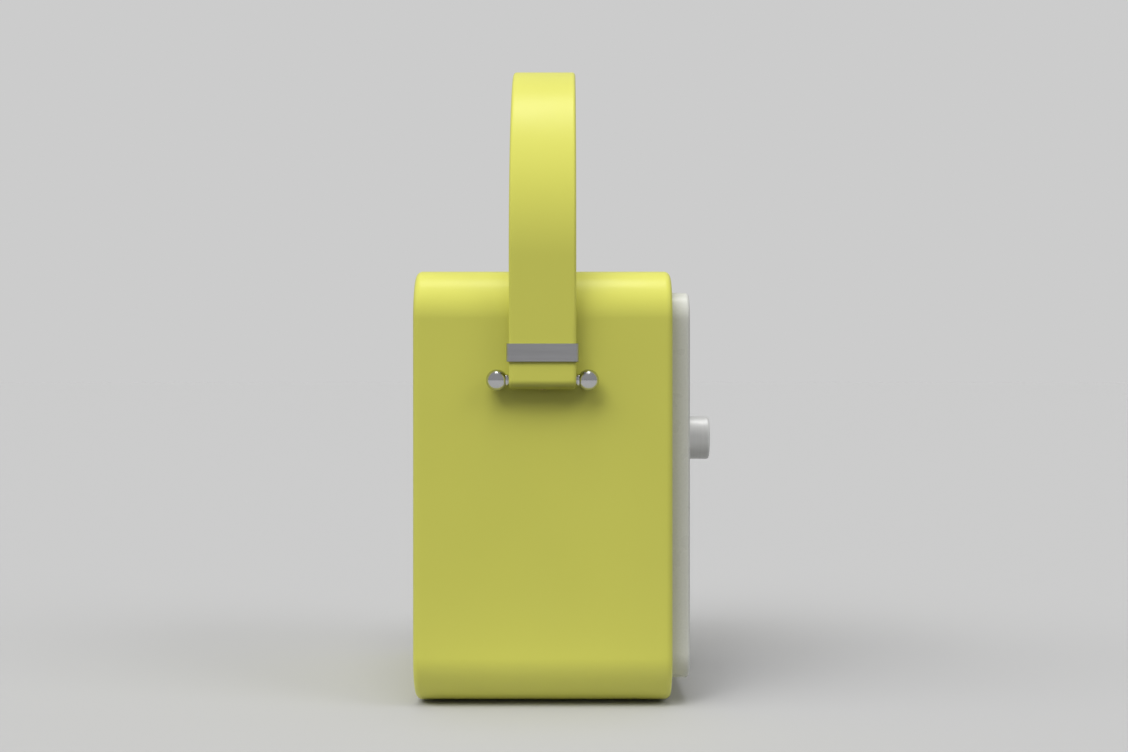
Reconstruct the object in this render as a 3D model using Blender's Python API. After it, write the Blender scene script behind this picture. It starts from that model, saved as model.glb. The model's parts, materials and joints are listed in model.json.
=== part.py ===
"""A small portable television with a carrying strap, built as separate parts.

Metres, +Z up. The screen faces -Y and the set stands on its four feet at z = 0. The origin is
under the middle of the whole object's box, so the cabinet itself sits a little behind it.
"""

from math import acos, atan2, cos, hypot, pi, radians, sin

import bmesh
import bpy

# Driving dimensions.
CABINET_WIDTH = 0.160
CABINET_HEIGHT = 0.2008
CABINET_DEPTH = 0.119
CORNER_RADIUS = 0.023
EDGE_RADIUS = 0.003
WALL = 0.0035
FOOT_HEIGHT = 0.001
PANEL_MARGIN = 0.010
PANEL_PROUD = 0.0086
CHANNEL_KNOB_LENGTH = 0.0198
STRAP_WIDTH = 0.0305
STRAP_TOP = 0.3052
ARCH_RISE = 0.098
PIVOT_HEIGHT = 0.1508
GAP = 0.0003

# Planes and centres that follow from them.
CABINET_Y = (PANEL_PROUD + CHANNEL_KNOB_LENGTH) / 2
FRONT = CABINET_Y - CABINET_DEPTH / 2
REAR = CABINET_Y + CABINET_DEPTH / 2
PANEL_FACE = FRONT - PANEL_PROUD
SIDE = CABINET_WIDTH / 2
BASE = FOOT_HEIGHT
MIDDLE_Z = BASE + CABINET_HEIGHT / 2
PANEL_WIDTH = CABINET_WIDTH - 2 * PANEL_MARGIN
PANEL_HEIGHT = CABINET_HEIGHT - 2 * PANEL_MARGIN
PANEL_SKIN = 0.003
PANEL_BACK = PANEL_FACE + PANEL_SKIN
COVER_OUTER = REAR - 0.0010
COVER_INNER = REAR - 0.0045

# Places of the controls, the tube and the loudspeaker on the front panel, as (x, z).
TUBE_CENTRE = (-0.016, 0.144)
CHANNEL_AXIS = (0.053, 0.1194)
VOLUME_AXIS = (0.053, 0.152)
POWER_AXIS = (0.053, 0.176)
SPEAKER_AXIS = (-0.020, 0.0595)

# Handle fittings.
BAR_RADIUS = 0.0020
STUD_RADIUS = 0.0023
BUSH_BORE = STUD_RADIUS + 0.0004
BUSH_RADIUS = 0.0036
BUSH_FLANGE = 0.0044
BALL_RADIUS = 0.0049
BALL_OFFSET = 0.0208
LOOP_THICKNESS = 0.0018
STRAP_THICKNESS = 0.0032
BAR_X = SIDE + 0.0056
LOOP_RADIUS = BAR_RADIUS + GAP + LOOP_THICKNESS
STRAP_FACE = BAR_X + LOOP_RADIUS
KEEPER_LOW = 0.1592
KEEPER_HIGH = 0.1673

# Turns that aim a turned piece's own +Z.
TO_FRONT = (pi / 2, 0, 0)
TO_REAR = (-pi / 2, 0, 0)
TO_RIGHT = (0, pi / 2, 0)
TO_LEFT = (0, -pi / 2, 0)
UPRIGHT = (0, 0, 0)


# Tools -----------------------------------------------------------------------------------------

def clear_scene():
    for old in list(bpy.data.objects):
        bpy.data.objects.remove(old, do_unlink=True)


def material(name, colour, roughness, metallic=0.0):
    made = bpy.data.materials.new(name)
    made.use_nodes = True
    shader = made.node_tree.nodes["Principled BSDF"]
    shader.inputs["Base Color"].default_value = (*colour, 1.0)
    shader.inputs["Roughness"].default_value = roughness
    shader.inputs["Metallic"].default_value = metallic
    return made


def object_of(name, bm, finish, location=(0, 0, 0), rotation=UPRIGHT):
    """Turns a bmesh into a placed object with its own mesh."""
    bmesh.ops.recalc_face_normals(bm, faces=bm.faces)
    mesh = bpy.data.meshes.new(name)
    bm.to_mesh(mesh)
    bm.free()
    mesh.shade_smooth()
    mesh.set_sharp_from_angle(angle=radians(35))
    if finish:
        mesh.materials.append(finish)
    made = bpy.data.objects.new(name, mesh)
    made.location = location
    made.rotation_euler = rotation
    bpy.context.scene.collection.objects.link(made)
    return made


def skin(loops, ring):
    """Faces through successive loops; a ring joins last to first, otherwise both ends are capped."""
    bm = bmesh.new()
    rows = [[bm.verts.new(point) for point in loop] for loop in loops]
    pairs = list(zip(rows, rows[1:]))
    if ring:
        pairs.append((rows[-1], rows[0]))
    else:
        bm.faces.new(rows[0])
        bm.faces.new(rows[-1])
    for first, second in pairs:
        for i in range(len(first)):
            j = (i + 1) % len(first)
            bm.faces.new((first[i], first[j], second[j], second[i]))
    return bm


def loft(name, loops, finish, ring=False, origin=(0, 0, 0)):
    """A solid through loops given in world places, whose object's origin is at origin."""
    ox, oy, oz = origin
    local = [[(x - ox, y - oy, z - oz) for x, y, z in loop] for loop in loops]
    return object_of(name, skin(local, ring), finish, origin)


def turned(name, profile, finish, location, rotation=UPRIGHT, sides=24, ring=False):
    """A turned solid from (radius, height) points along its own +Z."""
    loops = []
    for radius, height in profile:
        angles = [2 * pi * i / sides for i in range(sides)]
        loops.append([(radius * cos(a), radius * sin(a), height) for a in angles])
    return object_of(name, skin(loops, ring), finish, location, rotation)


def block(name, low, high, finish, origin=None, bevel=0.0):
    """A box between two corners, with its edges eased by bevel."""
    middle = [(a + b) / 2 for a, b in zip(low, high)]
    origin = origin or middle
    bm = bmesh.new()
    bmesh.ops.create_cube(bm, size=1.0)
    bmesh.ops.scale(bm, vec=[b - a for a, b in zip(low, high)], verts=bm.verts)
    bmesh.ops.translate(bm, vec=[m - o for m, o in zip(middle, origin)], verts=bm.verts)
    if bevel:
        bmesh.ops.bevel(bm, geom=bm.edges[:], offset=bevel, segments=2, profile=0.5, affect="EDGES")
    return object_of(name, bm, finish, origin)


def rounded(width, height, radius, y, centre=(0.0, MIDDLE_Z), steps=6):
    """The points round a rectangle with round corners, standing at depth y."""
    points = []
    for quarter, (sx, sz) in enumerate(((1, 1), (-1, 1), (-1, -1), (1, -1))):
        cx = centre[0] + sx * (width / 2 - radius)
        cz = centre[1] + sz * (height / 2 - radius)
        for i in range(steps + 1):
            angle = (quarter + i / steps) * pi / 2
            points.append((cx + radius * cos(angle), y, cz + radius * sin(angle)))
    return points


def inset(width, height, radius, amount, y, steps=6):
    """The same outline drawn in by amount all round."""
    return rounded(width - 2 * amount, height - 2 * amount, radius - amount, y, steps=steps)


def quarter_round(radius, steps):
    """(inset, depth) pairs over a quarter-round edge, from the face to the side."""
    angles = [i / steps * pi / 2 for i in range(steps + 1)]
    return [(radius * (1 - sin(a)), radius * (1 - cos(a))) for a in angles]


def helper(made):
    made.hide_render = True
    made.display_type = "WIRE"
    return made


def combine(target, operation, tools):
    for tool in tools:
        modifier = target.modifiers.new(operation.lower(), "BOOLEAN")
        modifier.operation = operation
        modifier.solver = "EXACT"
        modifier.object = helper(tool)


def cut(target, *cutters):
    combine(target, "DIFFERENCE", cutters)


def join(target, *extras):
    combine(target, "UNION", extras)


def round_cutter(name, radius, length, location, rotation, sides=20):
    return turned(name, [(radius, 0), (radius, length)], None, location, rotation, sides)


def at(axis, y):
    """The world place of a front-panel (x, z) at depth y."""
    return (axis[0], y, axis[1])


# Cabinet ---------------------------------------------------------------------------------------

COVER_SCREWS = [(sx * 0.0718, z) for sx in (-1, 1) for z in (0.040, 0.165)]
FEET = [(sx * 0.046, CABINET_Y + sy * 0.044) for sx in (-1, 1) for sy in (-1, 1)]
FOOT_RADIUS = 0.007
WINDOW_STEP = 0.002


def cabinet_shell(finish):
    """One moulded sleeve with a front frame, open at the back, with bosses for the cover's screws."""
    size = (CABINET_WIDTH, CABINET_HEIGHT, CORNER_RADIUS)
    window = (PANEL_WIDTH - 2 * WINDOW_STEP, PANEL_HEIGHT - 2 * WINDOW_STEP, 0.011)
    edge = quarter_round(EDGE_RADIUS, 3)
    loops = [rounded(*window, FRONT, steps=8)]
    loops += [inset(*size, amount, FRONT + depth, steps=8) for amount, depth in edge]
    loops += [inset(*size, amount, REAR - depth, steps=8) for amount, depth in reversed(edge)]
    loops.append(inset(*size, WALL, REAR, steps=8))
    loops.append(inset(*size, WALL, FRONT + EDGE_RADIUS, steps=8))
    loops.append(rounded(*window, FRONT + EDGE_RADIUS, steps=8))
    shell = loft("cabinet_shell", loops, finish, ring=True)
    boss_top = COVER_INNER - GAP
    for i, (x, z) in enumerate(COVER_SCREWS):
        place = (x, boss_top - 0.022, z)
        join(shell, round_cutter(f"boss_{i}", 0.0054, 0.022, place, TO_REAR, 12))
        cut(shell, round_cutter(f"pilot_{i}", 0.0019, 0.015, (x, boss_top - 0.014, z), TO_REAR, 12))
    for i, (x, y) in enumerate(FEET):
        cut(shell, round_cutter(f"foot_pocket_{i}", FOOT_RADIUS + GAP, 0.0022, (x, y, 0), UPRIGHT, 16))
    place = (-SIDE - 0.01, CABINET_Y, PIVOT_HEIGHT)
    cut(shell, round_cutter("pivot_holes", BUSH_RADIUS + GAP, CABINET_WIDTH + 0.02, place, TO_RIGHT, 16))
    return shell


def feet(finish):
    for i, (x, y) in enumerate(FEET):
        profile = [(0.0064, 0), (FOOT_RADIUS, 0.0006), (FOOT_RADIUS, 0.0019)]
        turned(f"foot_{i + 1}", profile, finish, (x, y, 0), sides=16)


# Front panel -----------------------------------------------------------------------------------

SLOT_COUNT = 10
SLOT_PITCH = 0.007
SLOT_LOW = 0.029
SLOT_LENGTH = 0.116
SLOT_HEIGHT = 0.0032
TUBE_WINDOW = (0.092, 0.070, 0.008)


def front_panel(finish):
    """A raised tray whose rear rim drops into the cabinet's front opening."""
    size = (PANEL_WIDTH, PANEL_HEIGHT, 0.013)
    rim = WINDOW_STEP + 0.0004
    edge = quarter_round(0.0015, 2)
    loops = [inset(*size, amount, PANEL_FACE + depth) for amount, depth in edge]
    loops.append(inset(*size, 0, FRONT - GAP))
    loops.append(inset(*size, rim, FRONT - GAP))
    loops.append(inset(*size, rim, FRONT + 0.0055))
    loops.append(inset(*size, rim + 0.0025, FRONT + 0.0055))
    loops.append(inset(*size, rim + 0.0025, PANEL_BACK))
    panel = loft("front_panel", loops, finish)
    ends = (PANEL_FACE - 0.002, PANEL_BACK + 0.002)
    window = [rounded(*TUBE_WINDOW, y, TUBE_CENTRE) for y in ends]
    cut(panel, loft("tube_window", window, None))
    for i in range(SLOT_COUNT):
        centre = (0.0, SLOT_LOW + i * SLOT_PITCH)
        slot = [rounded(SLOT_LENGTH, SLOT_HEIGHT, SLOT_HEIGHT / 2.2, y, centre, 2) for y in ends]
        cut(panel, loft(f"slot_{i}", slot, None))
    through = ends[1] - ends[0]
    cut(panel, round_cutter("channel_hole", 0.0040, through, at(CHANNEL_AXIS, ends[0]), TO_REAR))
    cut(panel, round_cutter("volume_hole", 0.0033, through, at(VOLUME_AXIS, ends[0]), TO_REAR))
    button = [rounded(0.0146, 0.0076, 0.0026, y, POWER_AXIS, 3) for y in ends]
    cut(panel, loft("button_hole", button, None))
    return panel


def speaker_cloth(finish):
    low = SLOT_LOW - 0.005
    high = SLOT_LOW + SLOT_COUNT * SLOT_PITCH - 0.002
    front = PANEL_BACK + GAP
    block("speaker_cloth", (-0.062, front, low), (0.062, front + 0.0008, high), finish)


def screen_bezel(finish):
    """The tube's surround: a stepped ring that fills the panel's window from behind."""
    sizes = [
        (0.0866, 0.0656, 0.0073, 0.0003),
        (0.0914, 0.0694, 0.0077, 0.0003),
        (0.0914, 0.0694, 0.0077, 0.0033),
        (0.0960, 0.0740, 0.0100, 0.0033),
        (0.0960, 0.0740, 0.0100, 0.0085),
        (0.0800, 0.0600, 0.0060, 0.0085),
        (0.0840, 0.0630, 0.0070, 0.0030),
        (0.0866, 0.0656, 0.0073, 0.0030),
    ]
    loops = [rounded(w, h, r, PANEL_FACE + y, TUBE_CENTRE) for w, h, r, y in sizes]
    loft("screen_bezel", loops, finish, ring=True)


def screen_guard(finish):
    """The clear sheet in the bezel's front step."""
    sizes = [
        (0.0848, 0.0638, 0.0064, 0.0008),
        (0.0860, 0.0650, 0.0070, 0.0012),
        (0.0860, 0.0650, 0.0070, 0.0027),
    ]
    loops = [rounded(w, h, r, PANEL_FACE + y, TUBE_CENTRE) for w, h, r, y in sizes]
    loft("screen_guard", loops, finish)


# Picture tube ----------------------------------------------------------------------------------

TUBE_EDGE = PANEL_FACE + 0.0099
TUBE_WIDTH = 0.088
TUBE_HEIGHT = 0.067
TUBE_CORNER = 0.009
TUBE_CROWN = 0.003
SKIRT_END = 0.009
FUNNEL_END = 0.048
NECK_RADIUS = 0.010
TUBE_LENGTH = 0.104


def funnel_loop(share):
    """The glass outline at a share of the way from the skirt to the neck."""
    flare = (1 - share) ** 1.8
    half_width = NECK_RADIUS + (TUBE_WIDTH / 2 - NECK_RADIUS) * flare
    half_height = NECK_RADIUS + (TUBE_HEIGHT / 2 - NECK_RADIUS) * flare
    corner = TUBE_CORNER * (1 - share) + half_height * share
    y = TUBE_EDGE + SKIRT_END + (FUNNEL_END - SKIRT_END) * share
    return rounded(2 * half_width, 2 * half_height, corner, y, TUBE_CENTRE)


def picture_tube(finish):
    loops = []
    for share in (0.12, 0.4, 0.7, 0.9, 0.98):
        y = TUBE_EDGE - TUBE_CROWN * (1 - share * share)
        size = (TUBE_WIDTH * share, TUBE_HEIGHT * share, TUBE_CORNER * share)
        loops.append(rounded(*size, y, TUBE_CENTRE))
    loops.append(rounded(TUBE_WIDTH, TUBE_HEIGHT, TUBE_CORNER, TUBE_EDGE + 0.001, TUBE_CENTRE))
    loops += [funnel_loop(i / 6) for i in range(7)]
    neck = (2 * NECK_RADIUS, 2 * NECK_RADIUS, NECK_RADIUS)
    loops.append(rounded(*neck, TUBE_EDGE + TUBE_LENGTH, TUBE_CENTRE))
    loft("picture_tube", loops, finish)


def tube_band(finish):
    """The tension band round the faceplate, with four corner lugs that hold the tube."""
    inner = (TUBE_WIDTH + 0.0008, TUBE_HEIGHT + 0.0008, TUBE_CORNER + 0.0004)
    outer = (TUBE_WIDTH + 0.0036, TUBE_HEIGHT + 0.0036, TUBE_CORNER + 0.0018)
    near, far = TUBE_EDGE + 0.002, TUBE_EDGE + 0.008
    order = ((outer, near), (outer, far), (inner, far), (inner, near))
    band = loft("tube_band", [rounded(*size, y, TUBE_CENTRE) for size, y in order], finish, ring=True)
    for i, (sx, sz) in enumerate(((1, 1), (-1, 1), (-1, -1), (1, -1))):
        x = TUBE_CENTRE[0] + sx * 0.046
        z = TUBE_CENTRE[1] + sz * 0.0355
        low = (x - 0.006, TUBE_EDGE + 0.0050, z - 0.006)
        high = (x + 0.006, TUBE_EDGE + 0.0065, z + 0.006)
        join(band, block(f"lug_{i}", low, high, None))
    glass = [rounded(*inner, y, TUBE_CENTRE) for y in (TUBE_EDGE, TUBE_EDGE + 0.02)]
    cut(band, loft("glass_room", glass, None))


def deflection_yoke(copper, ferrite):
    """Two rings on the tube's funnel: the wound coil and the ferrite core between its flares."""
    place = at(TUBE_CENTRE, TUBE_EDGE)
    coil = [
        (0.0174, 0.033), (0.0250, 0.033), (0.0250, 0.037), (0.0180, 0.037), (0.0180, 0.052),
        (0.0200, 0.052), (0.0200, 0.056), (0.0108, 0.056), (0.0108, 0.047), (0.0129, 0.040),
    ]
    turned("deflection_coil", coil, copper, place, TO_REAR, 18, ring=True)
    core = [(0.0184, 0.0374), (0.0240, 0.0374), (0.0240, 0.0516), (0.0184, 0.0516)]
    turned("yoke_core", core, ferrite, place, TO_REAR, 18, ring=True)


def tube_socket(finish):
    """The contact cup on the neck's end, joined to its small square board."""
    place = at(TUBE_CENTRE, TUBE_EDGE)
    cup = [
        (0.0104, 0.098), (0.0130, 0.098), (0.0130, 0.111),
        (0.0040, 0.111), (0.0040, 0.1045), (0.0104, 0.1045),
    ]
    socket = turned("tube_socket", cup, finish, place, TO_REAR, 20, ring=True)
    x, z = TUBE_CENTRE
    low = (x - 0.020, TUBE_EDGE + 0.1100, z - 0.020)
    high = (x + 0.020, TUBE_EDGE + 0.1116, z + 0.020)
    join(socket, block("neck_board", low, high, None))


# Controls --------------------------------------------------------------------------------------

def channel_knob(finish):
    length = CHANNEL_KNOB_LENGTH
    profile = [
        (0.0040, length), (0.0080, length - 0.0004), (0.0104, length - 0.0010),
        (0.0115, length - 0.0022), (0.0115, 0.0005), (0.0034, 0.0005), (0.0034, 0.0130),
    ]
    turned("channel_knob", profile, finish, at(CHANNEL_AXIS, PANEL_FACE), TO_FRONT, 24)


def tuner(box_finish, shaft_finish):
    """The channel selector: a screened box with a bush, and the shaft that the knob turns."""
    x, z = CHANNEL_AXIS
    front = FRONT + 0.008
    low = (x - 0.016, front, z - 0.0216)
    high = (x + 0.016, front + 0.050, z + 0.0234)
    box = block("tuner_box", low, high, box_finish)
    join(box, round_cutter("tuner_bush", 0.006, 0.008, at(CHANNEL_AXIS, front - 0.006), TO_REAR))
    cut(box, round_cutter("tuner_bore", 0.0034, 0.018, at(CHANNEL_AXIS, front - 0.008), TO_REAR))
    profile = [(0.0026, -0.0115), (0.0030, -0.0110), (0.0030, 0.0210), (0.0026, 0.0215)]
    turned("tuner_shaft", profile, shaft_finish, at(CHANNEL_AXIS, PANEL_FACE), TO_REAR, 16)


def volume(knob_finish, control_finish):
    """A low knob with its own spindle, and the rotary control that the spindle turns."""
    knob = [
        (0.0060, 0.0083), (0.0076, 0.0080), (0.0085, 0.0070), (0.0085, 0.0004),
        (0.0025, 0.0004), (0.0025, -0.0085),
    ]
    turned("volume_knob", knob, knob_finish, at(VOLUME_AXIS, PANEL_FACE), TO_FRONT, 20)
    control = [(0.0029, 0.0), (0.0085, 0.0), (0.0085, 0.010), (0.0029, 0.010)]
    place = at(VOLUME_AXIS, PANEL_FACE + 0.0045)
    turned("volume_control", control, control_finish, place, TO_REAR, 16, ring=True)


def power(button_finish, switch_finish):
    """A push button held behind the panel by its flange, and the switch that its stem works."""
    x, z = POWER_AXIS
    depths = ((0.0136, 0.0066, -0.0025), (0.0140, 0.0070, -0.0022), (0.0140, 0.0070, 0.0036))
    loops = [rounded(w, h, 0.0023, PANEL_FACE + y, POWER_AXIS, 3) for w, h, y in depths]
    origin = at(POWER_AXIS, PANEL_FACE)
    button = loft("power_button", loops, button_finish, origin=origin)
    low = (x - 0.0085, PANEL_FACE + 0.0034, z - 0.0050)
    high = (x + 0.0085, PANEL_FACE + 0.0046, z + 0.0050)
    join(button, block("button_flange", low, high, None))
    low = (x - 0.0025, PANEL_FACE + 0.0040, z - 0.0025)
    high = (x + 0.0025, PANEL_FACE + 0.0105, z + 0.0025)
    join(button, block("button_stem", low, high, None))
    low = (x - 0.0090, PANEL_FACE + 0.0075, z - 0.0060)
    high = (x + 0.0085, PANEL_FACE + 0.0195, z + 0.0060)
    switch = block("power_switch", low, high, switch_finish)
    low = (x - 0.0029, PANEL_FACE + 0.0070, z - 0.0029)
    high = (x + 0.0029, PANEL_FACE + 0.0135, z + 0.0029)
    cut(switch, block("switch_pocket", low, high, None))


# Loudspeaker -----------------------------------------------------------------------------------

def loudspeaker(steel, paper, magnet_finish):
    place = at(SPEAKER_AXIS, PANEL_BACK + 0.0014)
    frame = [
        (0.0355, 0.0), (0.0385, 0.0), (0.0385, 0.0016), (0.0346, 0.0024), (0.0225, 0.0196),
        (0.0120, 0.0196), (0.0120, 0.0182), (0.0214, 0.0182), (0.0334, 0.0018),
    ]
    turned("speaker_frame", frame, steel, place, TO_REAR, 20, ring=True)
    cone = [
        (0.0020, 0.0075), (0.0060, 0.0085), (0.0090, 0.0110), (0.0100, 0.0120), (0.0310, 0.0012),
        (0.0326, 0.0006), (0.0326, 0.0016), (0.0310, 0.0024), (0.0110, 0.0140), (0.0110, 0.0175),
        (0.0020, 0.0175),
    ]
    turned("speaker_cone", cone, paper, place, TO_REAR, 20)
    magnet = [(0.0190, 0.0199), (0.0200, 0.0205), (0.0200, 0.0290), (0.0190, 0.0296)]
    turned("speaker_magnet", magnet, magnet_finish, place, TO_REAR, 16)


# Chassis, boards and battery -------------------------------------------------------------------

CHASSIS_Z = 0.087
BOARD_Z = 0.091
BOARD_TOP = BOARD_Z + 0.0016
HOLD_AXES = ((0.030, 0.100), (0.052, 0.100))
HOLD_BLOCK_REAR = REAR - 0.0120


def chassis_frame(finish):
    """A bent steel tray across the cabinet that carries the boards over the battery box."""
    half, gauge, flange = 0.0752, 0.0012, 0.013
    section = [
        (-half, CHASSIS_Z), (half, CHASSIS_Z), (half, CHASSIS_Z + flange),
        (half - gauge, CHASSIS_Z + flange), (half - gauge, CHASSIS_Z + gauge),
        (-half + gauge, CHASSIS_Z + gauge), (-half + gauge, CHASSIS_Z + flange),
        (-half, CHASSIS_Z + flange),
    ]
    ends = (FRONT + 0.038, REAR - 0.007)
    loft("chassis_frame", [[(x, y, z) for x, z in section] for y in ends], finish)


def main_board(finish):
    """The circuit board with its cans, capacitors and the two hold controls at its rear edge."""
    low = (-0.070, FRONT + 0.041, BOARD_Z)
    high = (0.070, REAR - 0.012, BOARD_TOP)
    board = block("main_board", low, high, finish)
    sunk = BOARD_TOP - 0.0004
    cans = [(-0.058, 0.010), (-0.058, 0.024), (-0.040, 0.006)]
    for i, (x, y) in enumerate(cans):
        join(board, block(f"can_{i}", (x - 0.005, y - 0.005, sunk), (x + 0.005, y + 0.005, 0.106), None))
    capacitors = [
        (-0.040, 0.030, 0.0065),
        (-0.022, 0.040, 0.0050),
        (0.008, 0.042, 0.0065),
        (0.020, 0.010, 0.0040),
    ]
    for i, (x, y, radius) in enumerate(capacitors):
        join(board, round_cutter(f"capacitor_{i}", radius, 0.0140, (x, y, sunk), UPRIGHT, 12))
    for i, (x, z) in enumerate(HOLD_AXES):
        low = (x - 0.006, HOLD_BLOCK_REAR - 0.010, sunk)
        high = (x + 0.006, HOLD_BLOCK_REAR, z + 0.006)
        join(board, block(f"hold_control_{i}", low, high, None))
        place = (x, HOLD_BLOCK_REAR + 0.001, z)
        cut(board, round_cutter(f"hold_bore_{i}", 0.0019, 0.0075, place, TO_FRONT, 12))


def hold_knobs(finish):
    for side, axis in zip(("vertical", "horizontal"), HOLD_AXES):
        profile = [
            (0.0040, 0.0005), (0.0045, 0.0010), (0.0045, 0.0070), (0.0015, 0.0070), (0.0015, 0.0170),
        ]
        turned(f"{side}_hold_knob", profile, finish, at(axis, REAR), TO_FRONT, 16)


def line_transformer(finish):
    """The picture tube's high-voltage transformer, standing on the board."""
    place = (0.050, REAR - 0.040, BOARD_TOP + GAP)
    profile = [
        (0.0140, 0.0), (0.0150, 0.001), (0.0150, 0.006), (0.0135, 0.008), (0.0135, 0.030), (0.0120, 0.032),
    ]
    body = turned("line_transformer", profile, finish, place)
    x, y, z = place
    low = (x - 0.018, y - 0.005, z + 0.010)
    high = (x + 0.018, y + 0.005, z + 0.026)
    join(body, block("transformer_core", low, high, None))


BATTERY_OPENING = (0.062, 0.0170, 0.0830)
BATTERY_BOX_FRONT = REAR - 0.0407
CELL_RADIUS = 0.0164
CELL_LENGTH = 0.0605
CELL_HEIGHTS = (0.0334, 0.0666)


def battery_box(finish):
    low = (-0.064, BATTERY_BOX_FRONT, 0.0144)
    high = (0.064, REAR - 0.0050, 0.0856)
    box = block("battery_box", low, high, finish)
    low = (-0.0622, BATTERY_BOX_FRONT + 0.0018, 0.0162)
    cut(box, block("cell_room", low, (0.0622, REAR, 0.0838), None))


def battery_cells(finish):
    y = BATTERY_BOX_FRONT + 0.0018 + 0.0005 + CELL_RADIUS
    body = CELL_LENGTH - 0.0020
    profile = [
        (CELL_RADIUS - 0.0008, 0.0), (CELL_RADIUS, 0.0008), (CELL_RADIUS, body - 0.0008),
        (CELL_RADIUS - 0.0008, body), (0.0048, body), (0.0048, CELL_LENGTH),
    ]
    places = [(x, z, turn) for x, turn in ((0.0005, TO_RIGHT), (-0.0005, TO_LEFT)) for z in CELL_HEIGHTS]
    for i, (x, z, rotation) in enumerate(places):
        turned(f"battery_cell_{i + 1}", profile, finish, (x, y, z), rotation, 12)


# Rear cover ------------------------------------------------------------------------------------

SOCKET_HEIGHT = 0.100
AERIAL_X = -0.056
INLET_X = -0.036
EARPHONE_X = -0.018
DOOR_AXIS = (REAR - 0.0024, 0.0184)
HINGE_PIN_RADIUS = 0.0007
VENT_ROWS = 6


def rear_cover(finish):
    size = (CABINET_WIDTH, CABINET_HEIGHT, CORNER_RADIUS)
    fit = WALL + 0.0004
    loops = [inset(*size, fit, COVER_INNER), inset(*size, fit, COVER_OUTER - 0.0006)]
    loops.append(inset(*size, fit + 0.0006, COVER_OUTER))
    cover = loft("rear_cover", loops, finish)
    near, far = COVER_INNER - 0.002, REAR + 0.002
    half, sill, lintel = BATTERY_OPENING
    cut(cover, block("battery_opening", (-half, near, sill), (half, far, lintel), None))
    y, z = DOOR_AXIS
    place = (-half - 0.002, y, z)
    cut(cover, round_cutter("hinge_pockets", HINGE_PIN_RADIUS + GAP, 2 * half + 0.004, place, TO_RIGHT, 12))
    for column, x in enumerate((-0.030, 0.030)):
        for row in range(VENT_ROWS):
            z = 0.135 + row * 0.009
            low = (x - 0.024, near, z - 0.0015)
            high = (x + 0.024, far, z + 0.0015)
            cut(cover, block(f"vent_{column}_{row}", low, high, None))
    holes = [(AERIAL_X, 0.0050), (INLET_X, 0.0050), (EARPHONE_X, 0.0042)]
    holes += [(x, 0.0050) for x, _ in HOLD_AXES]
    for i, (x, radius) in enumerate(holes):
        place = (x, near, SOCKET_HEIGHT)
        cut(cover, round_cutter(f"socket_hole_{i}", radius, far - near, place, TO_REAR, 20))
    for i, (x, z) in enumerate(COVER_SCREWS):
        cut(cover, round_cutter(f"screw_hole_{i}", 0.0019, far - near, (x, near, z), TO_REAR, 12))
        cut(cover, round_cutter(f"screw_seat_{i}", 0.0033, 0.004, (x, COVER_OUTER - 0.0016, z), TO_REAR, 16))


def cover_screws(finish):
    for i, (x, z) in enumerate(COVER_SCREWS):
        profile = [
            (0.0022, -0.0005), (0.0029, -0.0009), (0.0029, -0.0023), (0.0015, -0.0023), (0.0015, -0.0150),
        ]
        turned(f"cover_screw_{i + 1}", profile, finish, (x, REAR, z), TO_REAR, 12)


def battery_door(finish):
    """A flap that fills the battery opening and turns on two small pins at its lower edge."""
    half, _, high = BATTERY_OPENING
    half -= GAP
    y, z = DOOR_AXIS
    thickness = 0.0011
    under = [(thickness * cos(a), thickness * sin(a)) for a in (pi + pi * i / 6 for i in range(7))]
    section = [(y + dy, z + dz) for dy, dz in under]
    section += [(y + thickness, high - GAP), (y - thickness, high - GAP)]
    loops = [[(x, py, pz) for py, pz in section] for x in (-half, half)]
    door = loft("battery_door", loops, finish, origin=(0, y, z))
    length = 2 * half + 0.003
    pins = round_cutter("hinge_pins", HINGE_PIN_RADIUS, length, (-length / 2, y, z), TO_RIGHT, 10)
    join(door, pins)


def rear_socket(name, x, body, nose, bore, finish, pin=None):
    """A round socket behind the cover with its nose in the cover's hole, and perhaps a pin in its bore."""
    profile = [(bore, 0.0006), (nose, 0.0006), (nose, 0.0048), (body, 0.0048), (body, 0.0160)]
    place = (x, REAR, SOCKET_HEIGHT)
    if pin:
        profile = [(pin, 0.0020), (pin, 0.0100), (bore, 0.0100)] + profile
    else:
        profile.append((bore, 0.0160))
    turned(name, profile, finish, place, TO_FRONT, 16, ring=not pin)


# Handle ----------------------------------------------------------------------------------------

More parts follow.
